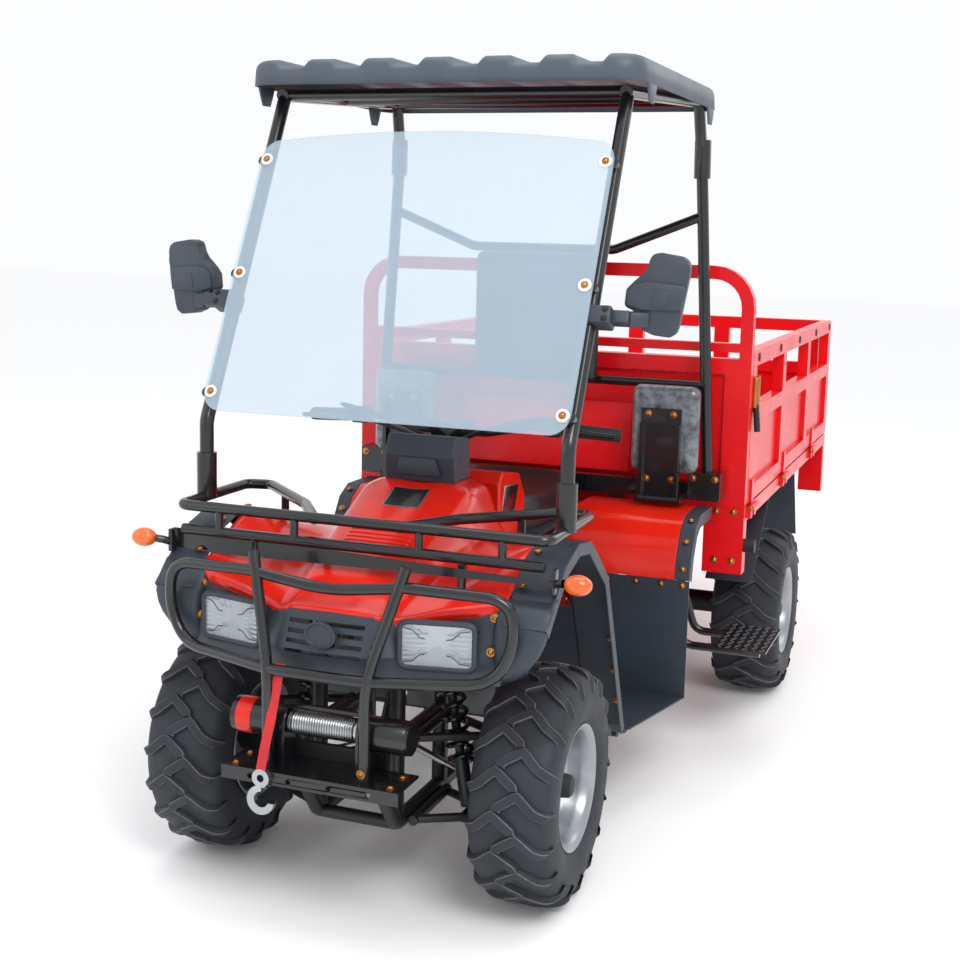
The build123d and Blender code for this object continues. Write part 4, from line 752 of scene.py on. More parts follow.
@dataclass
class Wheel:
    """Lugged tyre on a dished steel rim, for one corner of the vehicle."""

    axle: str
    side: str
    x: float
    y: float
    width: float
    radius: float = 267.0
    rows: int = 18
    lug_height: float = 12.0
    lug_root: float = 4.0
    lug_step: float = 8.0
    shoulder_fall: float = 260.0
    lip_inset: float = 11.0
    dish: float = 74.0
    holes: int = 8
    hole_ring: float = 92.0
    hole_half: float = 6.0
    hole_sweep: float = 0.13
    nuts: int = 4
    nut_ring: float = 57.0
    valve_turn: float = math.radians(200)
    sign: int = field(init=False)
    half: float = field(init=False)
    body: str = field(init=False)
    centre: Vector = field(init=False)
    out: Vector = field(init=False)

    # Half of the carcass from crown to bead, as share of the half width and radius. The crown has 5 points
    CARCASS: ClassVar[Pairs] = (
        (0.0, 255.0), (0.35, 253.5), (0.62, 250.0), (0.82, 243.0), (0.93, 232.0), (0.985, 214.0),
        (1.0, 195.0), (0.985, 172.0), (0.94, 154.0), (0.86, 142.0))
    CROWN: ClassVar[int] = 5
    # The two lugs of a row, as lines of (share of the half width, millimetres along the tread)
    TREAD: ClassVar[Sequence[Pairs]] = (
        ((-1.0, 30.0), (-0.66, 14.0), (-0.28, -20.0), (0.16, 10.0), (0.2, 26.0)),
        ((1.0, 76.0), (0.66, 60.0), (0.28, 27.0), (-0.16, 56.0), (-0.2, 72.0)))
    # A lug's section, as distance from its line and depth under its top, or None at its root
    LUG: ClassVar[Sequence[tuple[float, float | None]]] = (
        (-12.5, None), (-10.2, 2.0), (-8.4, 0.0), (8.4, 0.0), (10.2, 2.0), (12.5, None))
    # The strips of that section, at the lug's edges, that carry the painted highlight
    HIGHLIGHT_STRIPS: ClassVar[tuple[int, int]] = (1, 3)
    # The rim's section, as distances outward from the inner lip, the disc and the outer lip, with radius
    INNER_LIP: ClassVar[Pairs] = ((0, 141), (-2, 138), (4, 128), (22, 122))
    DISC: ClassVar[Pairs] = ((-14, 119), (-8, 108), (-7, 40), (0, 40), (4, 58), (3, 76), (-3, 90), (-2, 102),
                             (5, 111), (16, 116))
    OUTER_LIP: ClassVar[Pairs] = ((-32, 120), (-12, 124), (-5, 129), (-2, 135), (1, 138.5), (1, 141),
                                  (-3, 142))
    # Hub cap and valve, as distance outward from the disc and radius
    CAP: ClassVar[Pairs] = ((0, 37), (6, 37), (8, 32), (56, 25), (61, 20), (62, TIP))
    VALVE: ClassVar[Pairs] = ((12, 113), (24, 109), (42, 104))
    # Painted shade of a hole: a black oval with a short wall, set on the disc where the hole is, as distance
    # outward from the disc and share of the hole
    HOLE_SHADE: ClassVar[Pairs] = ((-6, 1.0), (-1.6, 1.0), (-1.6, 0.01))

    def __post_init__(self) -> None:
        """Work out the wheel's place and its name."""
        self.sign = dict(SIDES)[self.side]
        self.half = self.width / 2
        self.body = f"wheel_{self.axle}_{self.side}"
        self.centre = at(self.sign * self.x, self.y, self.radius)
        self.out = LEFT * self.sign

    def build(self) -> None:
        """Make the tyre, the rim and what is bolted to it."""
        self._tyre()
        self._rim()

    def _spot(self, across: float, radius: float, angle: float) -> Vector:
        """Return a point on the wheel.

        Args:
            across: distance outward from the wheel's middle plane.
            radius: distance from its axis.
            angle: turn round the axis, in radians.

        Returns:
            The point in the shared frame.
        """
        spoke = Vector((0, math.cos(angle), math.sin(angle)))
        return self.centre + (self.out * across + spoke * radius) * MM

    def _carcass(self, share: float) -> float:
        """Return the radius that a lug stands on.

        Args:
            share: the place across the tread, from minus one to one.

        Returns:
            Radius in millimetres.
        """
        edge, radius = self.CARCASS[self.CROWN - 1]
        if abs(share) < edge:
            return blend_through(self.CARCASS[:self.CROWN], abs(share))
        return radius - (abs(share) - edge) * self.shoulder_fall

    def _tyre(self) -> None:
        """Turn the carcass and set the lugs on it."""
        piece = Piece(f"tyre_{self.axle}_{self.side}_lugged")
        outer = [(share * self.half, radius) for share, radius in self.CARCASS]
        piece.lathe([(-x, r) for x, r in outer[:0:-1]] + outer, self.centre, self.out, 108)
        for turn in turns(self.rows):
            for line in self.TREAD:
                self._lug(piece, line, turn)
        piece.finish(TYRE_RUBBER, self.body, "tyre_rubber", [f"tyre_{self.axle}_{self.side}"], 35)

    def _lug(self, piece: Piece, line: Pairs, turn: float) -> None:
        """Raise one bar lug along its line.

        Args:
            piece: the tyre.
            line: the lug's middle line.
            turn: the row's angle.
        """
        spots = []
        for (u0, s0), (u1, s1) in zip(line, line[1:]):
            steps = max(2, round(math.hypot((u1 - u0) * self.half, s1 - s0) / self.lug_step))
            spots += [(u0 + (u1 - u0) * i / steps, s0 + (s1 - s0) * i / steps) for i in range(steps)]
        spots.append(line[-1])
        rows = []
        for index, (share, along) in enumerate(spots):
            before, after = spots[max(index - 1, 0)], spots[min(index + 1, len(spots) - 1)]
            run_x, run_s = (after[0] - before[0]) * self.half, after[1] - before[1]
            length = math.hypot(run_x, run_s)
            ground = self._carcass(share)
            top = min(self.radius, ground + self.lug_height)
            ends = index in (0, len(spots) - 1)
            row = []
            for offset, drop in self.LUG:
                radius = ground - self.lug_root if ends or drop is None else top - drop
                across = share * self.half - offset * run_s / length
                row.append(self._spot(across, radius, turn + (along + offset * run_x / length) / self.radius))
            rows.append(row)
        strips = len(self.LUG) - 1
        faces = piece.grid(rows)
        # The edge strips of each lug are marked for the painted highlight
        piece.painted_highlight_faces += [face for index, face in enumerate(faces) if index % strips in self.HIGHLIGHT_STRIPS]

    def _rim(self) -> None:
        """Turn the dished rim with its cap, nuts and valve, and paint the shade of its holes as black ovals.
        """
        lip = self.half - self.lip_inset
        disc = lip - self.dish
        piece = Piece(f"rim_{self.axle}_{self.side}_dished")
        section = [(start + across, radius)
                   for start, part in ((-lip, self.INNER_LIP), (disc, self.DISC), (lip, self.OUTER_LIP))
                   for across, radius in part]
        piece.lathe(section, self.centre, self.out, 96)
        piece.finish(RIM_SILVER, self.body, "rim_paint", [f"rim_{self.axle}_{self.side}"], 50)
        cap = Piece(f"hub_cap_{self.axle}_{self.side}")
        cap.lathe([(disc + across, radius) for across, radius in self.CAP], self.centre, self.out, 48)
        cap.tube([self._spot(disc + across, radius, self.valve_turn) for across, radius in self.VALVE], 5)
        # Each hole is painted shade: a black oval on the disc, not an opening
        for hole in range(self.holes):
            middle = 2 * math.pi * (hole + 0.5) / self.holes
            cap.grid([[self._spot(disc + across, self.hole_ring + self.hole_half * size * math.sin(turn),
                                  middle + self.hole_sweep * size * math.cos(turn)) for turn in turns(20)]
                      for across, size in self.HOLE_SHADE], closed=True)
        cap.finish(BLACK_RUBBER, self.body, "rubber", (), 40)
        nuts = Piece(f"wheel_nuts_{self.axle}_{self.side}")
        for turn in turns(self.nuts):
            nuts.bolt(self._spot(disc + 4, self.nut_ring, math.pi / 4 + turn), self.out, Head.WHEEL)
        nuts.finish(BRIGHT_ZINC, self.body, "steel")


@dataclass
class Bonnet:
    """Bonnet, nose, flares and the lamps in them."""

    side_x: float = 366.0
    rear_y: float = 300.0
    thickness: float = 3.2
    rib_y: float = -62.0
    rib_pitch: float = 14.0
    panel_y: float = 122.0
    lamp: Point = (242.0, -257.0, 632.0)
    lamp_half_width: float = 74.0
    lamp_half_height: float = 46.0
    lamp_sweep: float = 15.0
    facet_front: float = 9.0
    facet_depth: float = 8.0
    flutes: int = 9
    flute_height: float = 0.9
    lens_front: float = 11.0
    lens_crown: float = 6.0
    bezel_radius: float = 6.5
    arm_radius: float = 1.3
    badge: Point = (0.0, -318.0, 640.0)
    cheek_inner: float = 356.0
    cheek_roll: float = 8.0
    cheek_crown: float = 5.0
    cheek_thickness: float = 3.0
    indicator: Point = (517.0, -185.0, 773.0)
    indicator_half: Point = (30.0, 24.0, 22.0)

    # Front edge of the bonnet, as distance from the middle and place along the vehicle
    EDGE: ClassVar[Pairs] = ((0.0, -276.0), (98.0, -268.0), (160.0, -246.0), (330.0, -206.0), (370.0, -178.0))
    # Sections of the bonnet: place along the vehicle, then distance from the middle and height
    STATIONS: ClassVar[Sequence[tuple[float, Pairs]]] = (
        (-290.0, ((0, 680), (96, 674), (126, 660), (250, 676), (366, 672))),
        (-150.0, ((0, 742), (106, 734), (140, 706), (252, 728), (366, 742))),
        (0.0, ((0, 806), (120, 796), (160, 748), (260, 766), (366, 808))),
        (110.0, ((0, 852), (128, 840), (170, 770), (262, 772), (366, 800))),
        (190.0, ((0, 883), (134, 868), (176, 772), (262, 758), (366, 736))),
        (300.0, ((0, 884), (134, 868), (180, 766), (262, 716), (366, 676))),
    )
    # Lip under the front edge, as drop and distance ahead
    LIP: ClassVar[Pairs] = ((26, -1), (14, -4), (4, -3))
    # Faces of the skirt at each side and of the panel on the tank cover, as distance from the middle
    SKIRT_X: ClassVar[tuple[float, float]] = (362.5, 365.5)
    TANK_X: ClassVar[tuple[float, float]] = (131.0, 132.0)
    # Skirt at each side and section of a rib, as place along the vehicle and height
    SKIRT: ClassVar[Pairs] = ((20, 800), (110, 794), (190, 732), (236, 704), (278, 602), (20, 664))
    RIB: ClassVar[Pairs] = ((-4, -0.5), (-2, 2.6), (2, 2.6), (4, -0.5))
    # Middle and outline of the panel on each side of the tank cover, at its full half width
    TANK_PANEL: ClassVar[Pairs] = ((-62, -34), (40, -34), (66, 30), (-40, 40))
    TANK_MIDDLE: ClassVar[tuple[float, float]] = (482.0, 806.0)
    FULL_HALF: ClassVar[float] = 47.0
    # Half width, half height and corner of a bezel, as shares of the lamp's
    BEZEL: ClassVar[Point] = (1.05, 1.07, 0.28)
    # Arms of a bezel towards the lamp's middle, as shares across and up, and distance ahead
    ARM: ClassVar[Sequence[Point]] = ((0.94, 0.8, 11), (0.66, 0.72, 14), (0.46, 0.4, 16), (0.3, 0.36, 16.5))
    # Oval on the grille, as half height and distance ahead
    OVAL: ClassVar[Pairs] = ((29, 0), (29, 5), (25, 7), (23, 4), (0.2, 6))
    OVAL_STRETCH: ClassVar[float] = 1.25
    # Lines of the cheek below each flare: place along the vehicle, height and outer edge
    CHEEK: ClassVar[Sequence[Point]] = (
        (-178, 728, 467), (-200, 706, 467), (-218, 684, 466), (-228, 664, 463), (-231, 640, 456),
        (-229, 616, 445), (-224, 592, 428), (-216, 570, 406), (-204, 556, 384))
    # Return of the cheek beside the nose, as distance from the middle and distance back
    CHEEK_RETURN: ClassVar[Pairs] = ((338, 30), (350, 8))
    # Turned outer edge of the cheek, as steps outward, back and up
    CHEEK_TURN: ClassVar[Sequence[Point]] = ((-3, 2, 0), (0, 8, 0), (0, 26, 2))
    # Bolts, as place along the vehicle and height
    FLARE_BOLTS: ClassVar[Pairs] = ((-156, 754), (-60, 806), (60, 814), (140, 774))
    NOSE_BOLTS: ClassVar[Pairs] = ((-206, 690), (-226, 622))
    SKIRT_BOLTS: ClassVar[Pairs] = ((90, 676), (160, 656), (232, 632))
    WELL_BOLTS: ClassVar[Pairs] = tuple((242 + (690 - z) * 200 / 428, z) for z in (520, 430, 340))
    # Stem of a turn lamp, and the plate that it stands on
    STEM: ClassVar[Sequence[Point]] = ((486, -185, 773), (470, -178, 770), (462, -165, 764))
    STEM_PLATE: ClassVar[Point] = (458, -158, 768)

    def build(self) -> None:
        """Make the bonnet's skin and what is fixed to the front."""
        self._skin()
        self._panel()
        self._lamps()
        self._badge()
        self._cheeks()
        self._fixings()
        self._indicators()

    def height(self, x: float, y: float) -> float:
        """Return the bonnet's height over one spot.

        Args:
            x: distance from the middle.
            y: distance behind the front axle.

        Returns:
            Height in millimetres.
        """
        rows = []
        for station, half in self.STATIONS:
            mirrored = [(-half[1][0], half[1][1]), *half]
            rows.append((station, blend_through(mirrored, abs(x))))
        return blend_through(rows, y)

    def _skin(self) -> None:
        """Skin the bonnet from its sections, with a lip turned down in front, skirts and ribs."""
        piece = Piece("bonnet_skin")
        columns = [self.side_x * share for share in shares(36)]
        fronts = [blend_through(self.EDGE, abs(x)) for x in columns]
        rows = []
        for drop, ahead in self.LIP:
            rows.append([at(x, y + ahead, self.height(x, y) - drop) for x, y in zip(columns, fronts)])
        for share in (step / 48 for step in range(49)):
            places = [(x, front + share * (self.rear_y - front)) for x, front in zip(columns, fronts)]
            rows.append([at(x, y, self.height(x, y)) for x, y in places])
        piece.grid(rows)
        for sign in SIGNS:
            piece.prism(self.SKIRT, *sorted(sign * x for x in self.SKIRT_X), Axis.X, 0.6)
        for rib in range(5):
            y = self.rib_y + self.rib_pitch * rib
            piece.grid([[at(x, y + shift, self.height(x, y + shift) + lift) for x in range(-78, 79, 6)]
                        for shift, lift in self.RIB])
        thicken(piece.finish(RED_ABS, "chassis", "red_plastic", ["hood"], 38), self.thickness)

    def _panel(self) -> None:
        """Lay the plain black panel with its silver edge on the bonnet and the tank cover."""
        along, up = self.TANK_MIDDLE
        inner, outer = self.TANK_X
        for name, finish, half, lift in (("edge", BRIGHT_ZINC, 47, 0.6), ("face", BLACK_COAT, 43, 1.1)):
            piece = Piece(f"bonnet_panel_{name}")
            rows = []
            for share in shares(4):
                y = self.panel_y + (half - 10) * share
                rows.append([at(x, y, self.height(x, y) + lift) for x in (half * u for u in shares(8))])
            piece.grid(rows)
            size = half / self.FULL_HALF
            for sign in SIGNS:
                piece.prism([(along + size * y, up + size * z) for y, z in self.TANK_PANEL],
                            *sorted((sign * inner, sign * (outer + lift))), Axis.X, 0.4)
            piece.finish(finish, "chassis")

    def _on_lamp(self, sign: int, u: float, v: float, ahead: float) -> Vector:
        """Return a point on one lamp.

        Args:
            sign: which side the lamp is on.
            u: share of its half width, outward.
            v: share of its half height, upward.
            ahead: distance in front of its plane.

        Returns:
            The point in the shared frame.
        """
        x, y, z = self.lamp
        return at(sign * (x + self.lamp_half_width * u), y + self.lamp_sweep * u - ahead,
                  z + self.lamp_half_height * v)

    def _facet(self, u: float, v: float) -> float:
        """Return how far a spot of the reflector's four fluted facets stands ahead.

        Args:
            u: share of the half width.
            v: share of the half height.

        Returns:
            Distance in millimetres.
        """
        edge = max(abs(u), abs(v))
        flute = math.cos(self.flutes * math.pi * (v if abs(u) > abs(v) else u))
        return self.facet_front - self.facet_depth * (1 - edge) + self.flute_height * flute * edge

    def _crown(self, u: float, v: float) -> float:
        """Return how far a spot of the lens stands ahead."""
        return self.lens_front + self.lens_crown * (1 - u ** 4) * (1 - v ** 4)

    def _lamps(self) -> None:
        """Set a faceted reflector, a dark bezel with arms and a clear lens in each lamp opening."""
        plate, lens, bezel = Piece("lamp_reflectors"), Piece("lamp_lenses"), Piece("lamp_bezels")
        for sign in SIGNS:
            plate.grid([[self._on_lamp(sign, u * (1 - abs(v) ** 8 * 0.06), v, self._facet(u, v))
                         for u in shares(24)] for v in shares(18)])
            lens.grid([[self._on_lamp(sign, u, v, self._crown(u, v)) for u in shares(12)] for v in shares(9)])
            rim = [self._on_lamp(sign, u, v, self.facet_front) for u, v in rounded(*self.BEZEL)]
            bezel.tube([*rim, rim[0]], self.bezel_radius, 10, capped=False)
            for u, v in ((-1, -1), (-1, 1), (1, -1), (1, 1)):
                bezel.tube([self._on_lamp(sign, across * u, up * v, ahead) for across, up, ahead in self.ARM],
                           self.arm_radius, 8)
        plate.finish(LAMP_PLATE, "chassis", "lamp_lens", ["headlamps"], 12)
        lens.finish(LAMP_LENS, "chassis", "lamp_lens")
        bezel.finish(DARK_PP, "chassis", "dark_plastic")

    def _badge(self) -> None:
        """Set the plain oval on the grille."""
        x, y, z = self.badge
        piece = Piece("grille_oval")
        piece.grid([[at(x + size * self.OVAL_STRETCH * math.cos(a), y - ahead, z + size * math.sin(a))
                     for a in turns(40)] for size, ahead in self.OVAL], closed=True)
        piece.finish(DARK_PP, "chassis", "dark_plastic")

    def _cheeks(self) -> None:
        """Carry each flare down in front of the wheel to the nose's side."""
        piece = Piece("flare_cheeks")
        for sign in SIGNS:
            rows = []
            for y, z, outer in self.CHEEK:
                row = [(x, y + back, z) for x, back in self.CHEEK_RETURN]
                for share in (step / 10 for step in range(11)):
                    x = self.cheek_inner + (outer - self.cheek_roll - self.cheek_inner) * share
                    row.append((x, y - self.cheek_crown * math.sin(math.pi * share), z))
                row += [(outer + out, y + back, z + up) for out, back, up in self.CHEEK_TURN]
                rows.append(on_side(sign, row))
            piece.grid(rows)
        thicken(piece.finish(DARK_PP, "chassis", "dark_plastic", (), 50), self.cheek_thickness)

    def _fixings(self) -> None:
        """Set the bolts of nose, flares and inner fenders."""
        piece = Piece("front_bolts")
        for sign in SIGNS:
            for x, spots, along, head in (
                    (388, self.FLARE_BOLTS, (0, -0.3, 1), Head.PANEL),
                    (346, self.NOSE_BOLTS, (sign * 0.2, -1, 0.1), Head.PANEL),
                    (366, self.SKIRT_BOLTS, (sign, 0, 0), Head.TRIM),
                    (452, self.WELL_BOLTS, (0, -1, -0.5), Head.TRIM)):
                for y, z in spots:
                    piece.bolt(at(sign * x, y, z), Vector(along), head)
        piece.finish(YELLOW_ZINC, "chassis", "steel")

    def _indicators(self) -> None:
        """Set an oval amber lens on a black bracket at each side."""
        amber, holder = Piece("indicator_lenses"), Piece("indicator_brackets")
        long, deep, high = self.indicator_half
        for sign in SIGNS:
            centre, = on_side(sign, [self.indicator])
            rows = []
            for turn in (math.pi * step / 12 for step in range(13)):
                size = math.sin(turn) * 0.98 + 0.02
                rows.append([centre + Vector((-sign * math.cos(turn) * long, deep * size * math.cos(a),
                                              high * size * math.sin(a))) * MM for a in turns(28)])
            amber.grid(rows, closed=True)
            holder.tube(on_side(sign, self.STEM), 9)
            holder.box(*on_side(sign, [self.STEM_PLATE]), (10, 26, 52))
        amber.finish(AMBER_LENS, "chassis", "amber_lens", ["indicators"])
        holder.finish(BLACK_COAT, "chassis", "black_tube")


@dataclass
class FrontGuard:
    """Tubes of the front guard, the winch with its rope and hook strap, and their bolts."""

    tube_radius: float = 12.5
    bend: float = 60.0
    loop_bend: float = 56.0
    drum: Point = (0.0, -286.0, 432.0)
    rope_half: float = 72.0
    rope_radius: float = 24.5
    rope_rise: float = 2.4
    rope_pitch: float = 6.0
    strap_half: float = 11.0
    strap_thickness: float = 1.6

    # Left half of the outer loop, the shallow cross tube and the left upright
    LOOP: ClassVar[Sequence[Point]] = (
        (113, -339, 557), (362, -262, 562), (408, -254, 646), (398, -254, 744), (168, -290, 754))
    CROSS: ClassVar[Sequence[Point]] = ((-168, -292, 752), (0, -288, 729), (168, -292, 752))
    UPRIGHT: ClassVar[Sequence[Point]] = ((113, -339, 346.5), (113, -339, 557), (178, -284, 795))
    # Line of the strap from the hook upward
    STRAP: ClassVar[Sequence[Point]] = (
        (-104, -384, 350), (-102, -372, 392), (-98, -352, 450), (-92, -338, 520), (-88, -330, 570))
    # Bolts of the left upright and of the left half of the winch plate
    UPRIGHT_BOLT: ClassVar[Point] = (113, -353, 366)
    PLATE_BOLTS: ClassVar[Sequence[Point]] = ((180, -352, 346.4), (180, -290, 346.4))
    # Band, motor and gearbox of the winch, as distance from the middle and radius
    BAND: ClassVar[Pairs] = ((-200, 38.6), (-200, 39.7), (-164, 39.7), (-164, 38.6))
    MOTOR: ClassVar[Pairs] = ((-214, TIP), (-214, 34), (-210, 39), (-88, 39), (-86, 34), (-86, TIP))
    GEARBOX: ClassVar[Pairs] = ((86, TIP), (86, 33), (90, 37), (190, 37), (199, 30), (199, TIP))

    def build(self) -> None:
        """Bend the guard, dress the winch and set strap and bolts."""
        self._guard()
        self._rope()
        self._strap()
        self._winch()
        self._bolts()

    def _guard(self) -> None:
        """Bend the guard's loop, its shallow cross tube and the two uprights."""
        tubes = Piece("guard_tubes")
        loop = [(-x, y, z) for x, y, z in reversed(self.LOOP)] + list(self.LOOP)
        uprights = [[(sign * x, y, z) for x, y, z in self.UPRIGHT] for sign in SIGNS]
        for line, bend in ((loop, self.loop_bend), *((line, self.bend) for line in (self.CROSS, *uprights))):
            tubes.tube(bent(line, bend), self.tube_radius, 18)
        tubes.finish(BLACK_COAT, "chassis", "black_tube", ["bull_bar"], 50)

    def _rope(self) -> None:
        """Wind the rope on the drum."""
        rope = Piece("winch_rope_turns")
        places = [-self.rope_half + self.rope_pitch / 4 * step for step in range(97)]
        rope.lathe([(x, self.rope_radius + self.rope_rise * abs(math.sin(math.pi * x / self.rope_pitch)))
                    for x in places], at(*self.drum), LEFT, 40)
        rope.finish(BRIGHT_ZINC, "chassis", "steel")

    def _strap(self) -> None:
        """Run the flat strap from the hook up to the guard."""
        strap = Piece("hook_strap")
        half, thick = self.strap_half, self.strap_thickness
        strap.grid([[at(x + side, y - lift, z)
                     for side, lift in ((-half, 0), (half, 0), (half, thick), (-half, thick))]
                    for x, y, z in self.STRAP], closed=True)
        strap.finish(RED_WEBBING, "chassis")

    def _winch(self) -> None:
        """Set band, motor and gearbox beside the drum."""
        band = Piece("winch_bands")
        band.lathe(self.BAND, at(*self.drum), LEFT, 48)
        band.finish(RED_ABS, "chassis")
        caps = Piece("winch_caps")
        for profile in (self.MOTOR, self.GEARBOX):
            caps.lathe(profile, at(*self.drum), LEFT, 48)
        caps.finish(BLACK_COAT, "chassis", "black_tube")

    def _bolts(self) -> None:
        """Bolt the uprights to the winch plate, and the plate to the frame."""
        bolts = Piece("guard_bolts")
        for sign in SIGNS:
            bolts.bolt(*on_side(sign, [self.UPRIGHT_BOLT]), FORWARD, Head.FLANGE)
        for sign in SIGNS:
            for seat in on_side(sign, self.PLATE_BOLTS):
                bolts.bolt(seat, UP, Head.FLANGE)
        bolts.finish(YELLOW_ZINC, "chassis", "steel")


@dataclass
class Cab:
    """Roof, windscreen and mirrors."""

    lean: float = math.radians(26.0)
    roof_top: float = 1885.0
    rim_z: float = 1823.0
    roof_thickness: float = 4.5
    channel_half: float = 46.5
    channel_wall: float = 20.0
    channel_depth: float = 17.0
    channel_end: float = 1010.0
    channel_ramp: float = 24.0
    half_width: float = 446.0
    screen_low: float = 14.0
    screen_high: float = 646.0
    screen_crown: float = 668.0
    screen_corner: float = 46.0
    post_bend: Point = (0.0, -37.0, 1030.0)
    mirror: Point = (585.0, 140.6, 1354.0)
    mirror_turn: float = math.radians(6.0)
    clamp_turn: float = math.radians(28.0)

    # Middles of the roof's channels, and steps across one
    CHANNELS: ClassVar[Sequence[float]] = (-375.0, -225.0, -75.0, 75.0, 225.0, 375.0)
    MARKS: ClassVar[Sequence[float]] = (-46.5, -42, -36.5, -31, -26.5, 0, 26.5, 31, 36.5, 42, 46.5)
    # Roof's half width inside its rim, its steps along the vehicle, and the steps round its corners
    ROOF_HALF: ClassVar[float] = 430.0
    ROOF_Y: ClassVar[Sequence[float]] = (
        308.0, 420.0, 560.0, 700.0, 840.0, 960.0, 986.0, 992.0, 998.0, 1004.0, 1010.0, 1028.0)
    QUARTER: ClassVar[Sequence[float]] = tuple(math.pi / 16 * step for step in range(1, 8))
    # Rolled rim of the roof, as reach outward and share of the height
    ROLL: ClassVar[Pairs] = ((0, 1.0), (36, 1.0), (46, 0.975), (54, 0.93), (60, 0.86), (65, 0.75),
                             (67.5, 0.6), (70, 0))
    # Tab at a corner, as place along the vehicle from its start and height
    TAB: ClassVar[Pairs] = ((0, 1827), (80, 1827), (70, 1806), (58, 1780), (22, 1780), (10, 1806))
    TAB_STARTS: ClassVar[Sequence[float]] = (304.0, 952.0)
    TAB_X: ClassVar[tuple[float, float]] = (494.5, 499.6)
    # Outlines of a mirror, outward and upward from its middle
    SHELL: ClassVar[Pairs] = (
        (-24, 76), (-18, 87), (-3, 92), (48, 84), (60, 76), (64, 62), (62, 40), (44, -68), (39, -82),
        (26, -91), (-10, -87), (-32, -78), (-43, -68), (-46, -56), (-45, -38), (-72, -28), (-76, -22),
        (-73, 12), (-58, 27), (-31, 46), (-27, 60))
    BAND: ClassVar[Pairs] = ((-70, -24), (-68, 10), (-54, 23), (-28, 30), (56, 22), (49, -32), (-40, -33))
    PANEL: ClassVar[Pairs] = ((-12, 13), (25, 8), (18, -27), (-18, -25))
    # Those outlines with where they start and end along the vehicle and the width of their edges
    LAYERS: ClassVar[Sequence[tuple[Pairs, float, float, float]]] = (
        (SHELL, 123, 160, 4.0), (BAND, 115.5, 130, 4.0), (PANEL, 114, 120, 1.2))
    # Size of the glass against its shell
    PANE: ClassVar[float] = 0.9
    # Seat of a mirror clamp's bolts, their distance apart along the post and ahead of it
    CLAMP_SEAT: ClassVar[Point] = (480, 94, 1302)
    CLAMP_RISES: ClassVar[tuple[float, float]] = (-11, 11)
    CLAMP_AHEAD: ClassVar[float] = 26.0
    # Back and front of the screen, ahead of the posts' axis
    SHEET: ClassVar[tuple[float, float]] = (30.0, 34.0)
    # Washered bolts of the screen, as distance from the middle and shares of the posts' rise
    SCREEN_BOLT_X: ClassVar[float] = 428.0
    SCREEN_BOLTS: ClassVar[Sequence[float]] = (0.07, 0.42, 0.77)
    POST_RISE: ClassVar[float] = 777.0
    WASHER: ClassVar[Pairs] = ((0, 15), (2.4, 15), (3, 13.5), (3, 5))

    def build(self) -> None:
        """Mould the roof, cut the screen and set its bolts, and glaze the mirrors."""
        self._roof()
        self._screen()
        self._mirrors()

    def _channel(self, x: float, y: float) -> float:
        """Return how deep the roof's channels are at one spot.

        Args:
            x: distance from the middle.
            y: distance behind the front axle.

        Returns:
            Depth in millimetres.
        """
        off = min(abs(x - middle) for middle in self.CHANNELS)
        wall = eased((self.channel_half - off) / self.channel_wall)
        return self.channel_depth * wall * eased((self.channel_end - y) / self.channel_ramp)

    def _roof(self) -> None:
        """Mould the roof with sloped channels that notch its front edge, a rolled rim and corner tabs."""
        piece = Piece("roof_moulding")
        xs = [-self.ROOF_HALF, *(c + m for c in self.CHANNELS for m in self.MARKS), self.ROOF_HALF]
        ys = self.ROOF_Y
        piece.grid([[at(x, y, self.roof_top - self._channel(x, y)) for x in xs] for y in ys])
        border = [(x, ys[0], 0, -1) for x in xs]
        border += [(xs[-1], ys[0], math.sin(a), -math.cos(a)) for a in self.QUARTER]
        border += [(xs[-1], y, 1, 0) for y in ys]
        border += [(xs[-1], ys[-1], math.cos(a), math.sin(a)) for a in self.QUARTER]
        border += [(x, ys[-1], 0, 1) for x in reversed(xs)]
        border += [(xs[0], ys[-1], -math.sin(a), math.cos(a)) for a in self.QUARTER]
        border += [(xs[0], y, -1, 0) for y in reversed(ys)]
        border += [(xs[0], ys[0], -math.cos(a), -math.sin(a)) for a in self.QUARTER]
        rings = []
        for reach, share in self.ROLL:
            ring = []
            for x, y, dx, dy in border:
                rise = self.roof_top - self._channel(x, y) - self.rim_z
                ring.append(at(x + dx * reach, y + dy * reach, self.rim_z + rise * share))
            rings.append(ring)
        piece.grid(rings, closed=True)
        piece.weld(0.2)
        thicken(piece.finish(ROOF_PP, "chassis", "dark_plastic", ["roof"], 50), self.roof_thickness)
        tabs = Piece("roof_tabs")
        for sign in SIGNS:
            for start in self.TAB_STARTS:
                outline = [(start + y, z) for y, z in self.TAB]
                tabs.prism(outline, *sorted(sign * x for x in self.TAB_X), Axis.X)
        tabs.finish(ROOF_PP, "chassis", "dark_plastic")

    def _ahead(self) -> Vector:
        """Return the direction square to the screen."""
        return Vector((0, -math.cos(self.lean), math.sin(self.lean)))

    def _on_screen(self, x: float, rise: float, out: float) -> Vector:
        """Return a point on the screen's plane.

        Args:
            x: distance from the middle.
            rise: height above the posts' bend.
            out: distance in front of the posts' axis.

        Returns:
            The point in the shared frame.
        """
        _, y, z = self.post_bend
        return at(x, y + rise * math.tan(self.lean) - out * math.cos(self.lean),
                  z + rise + out * math.sin(self.lean))

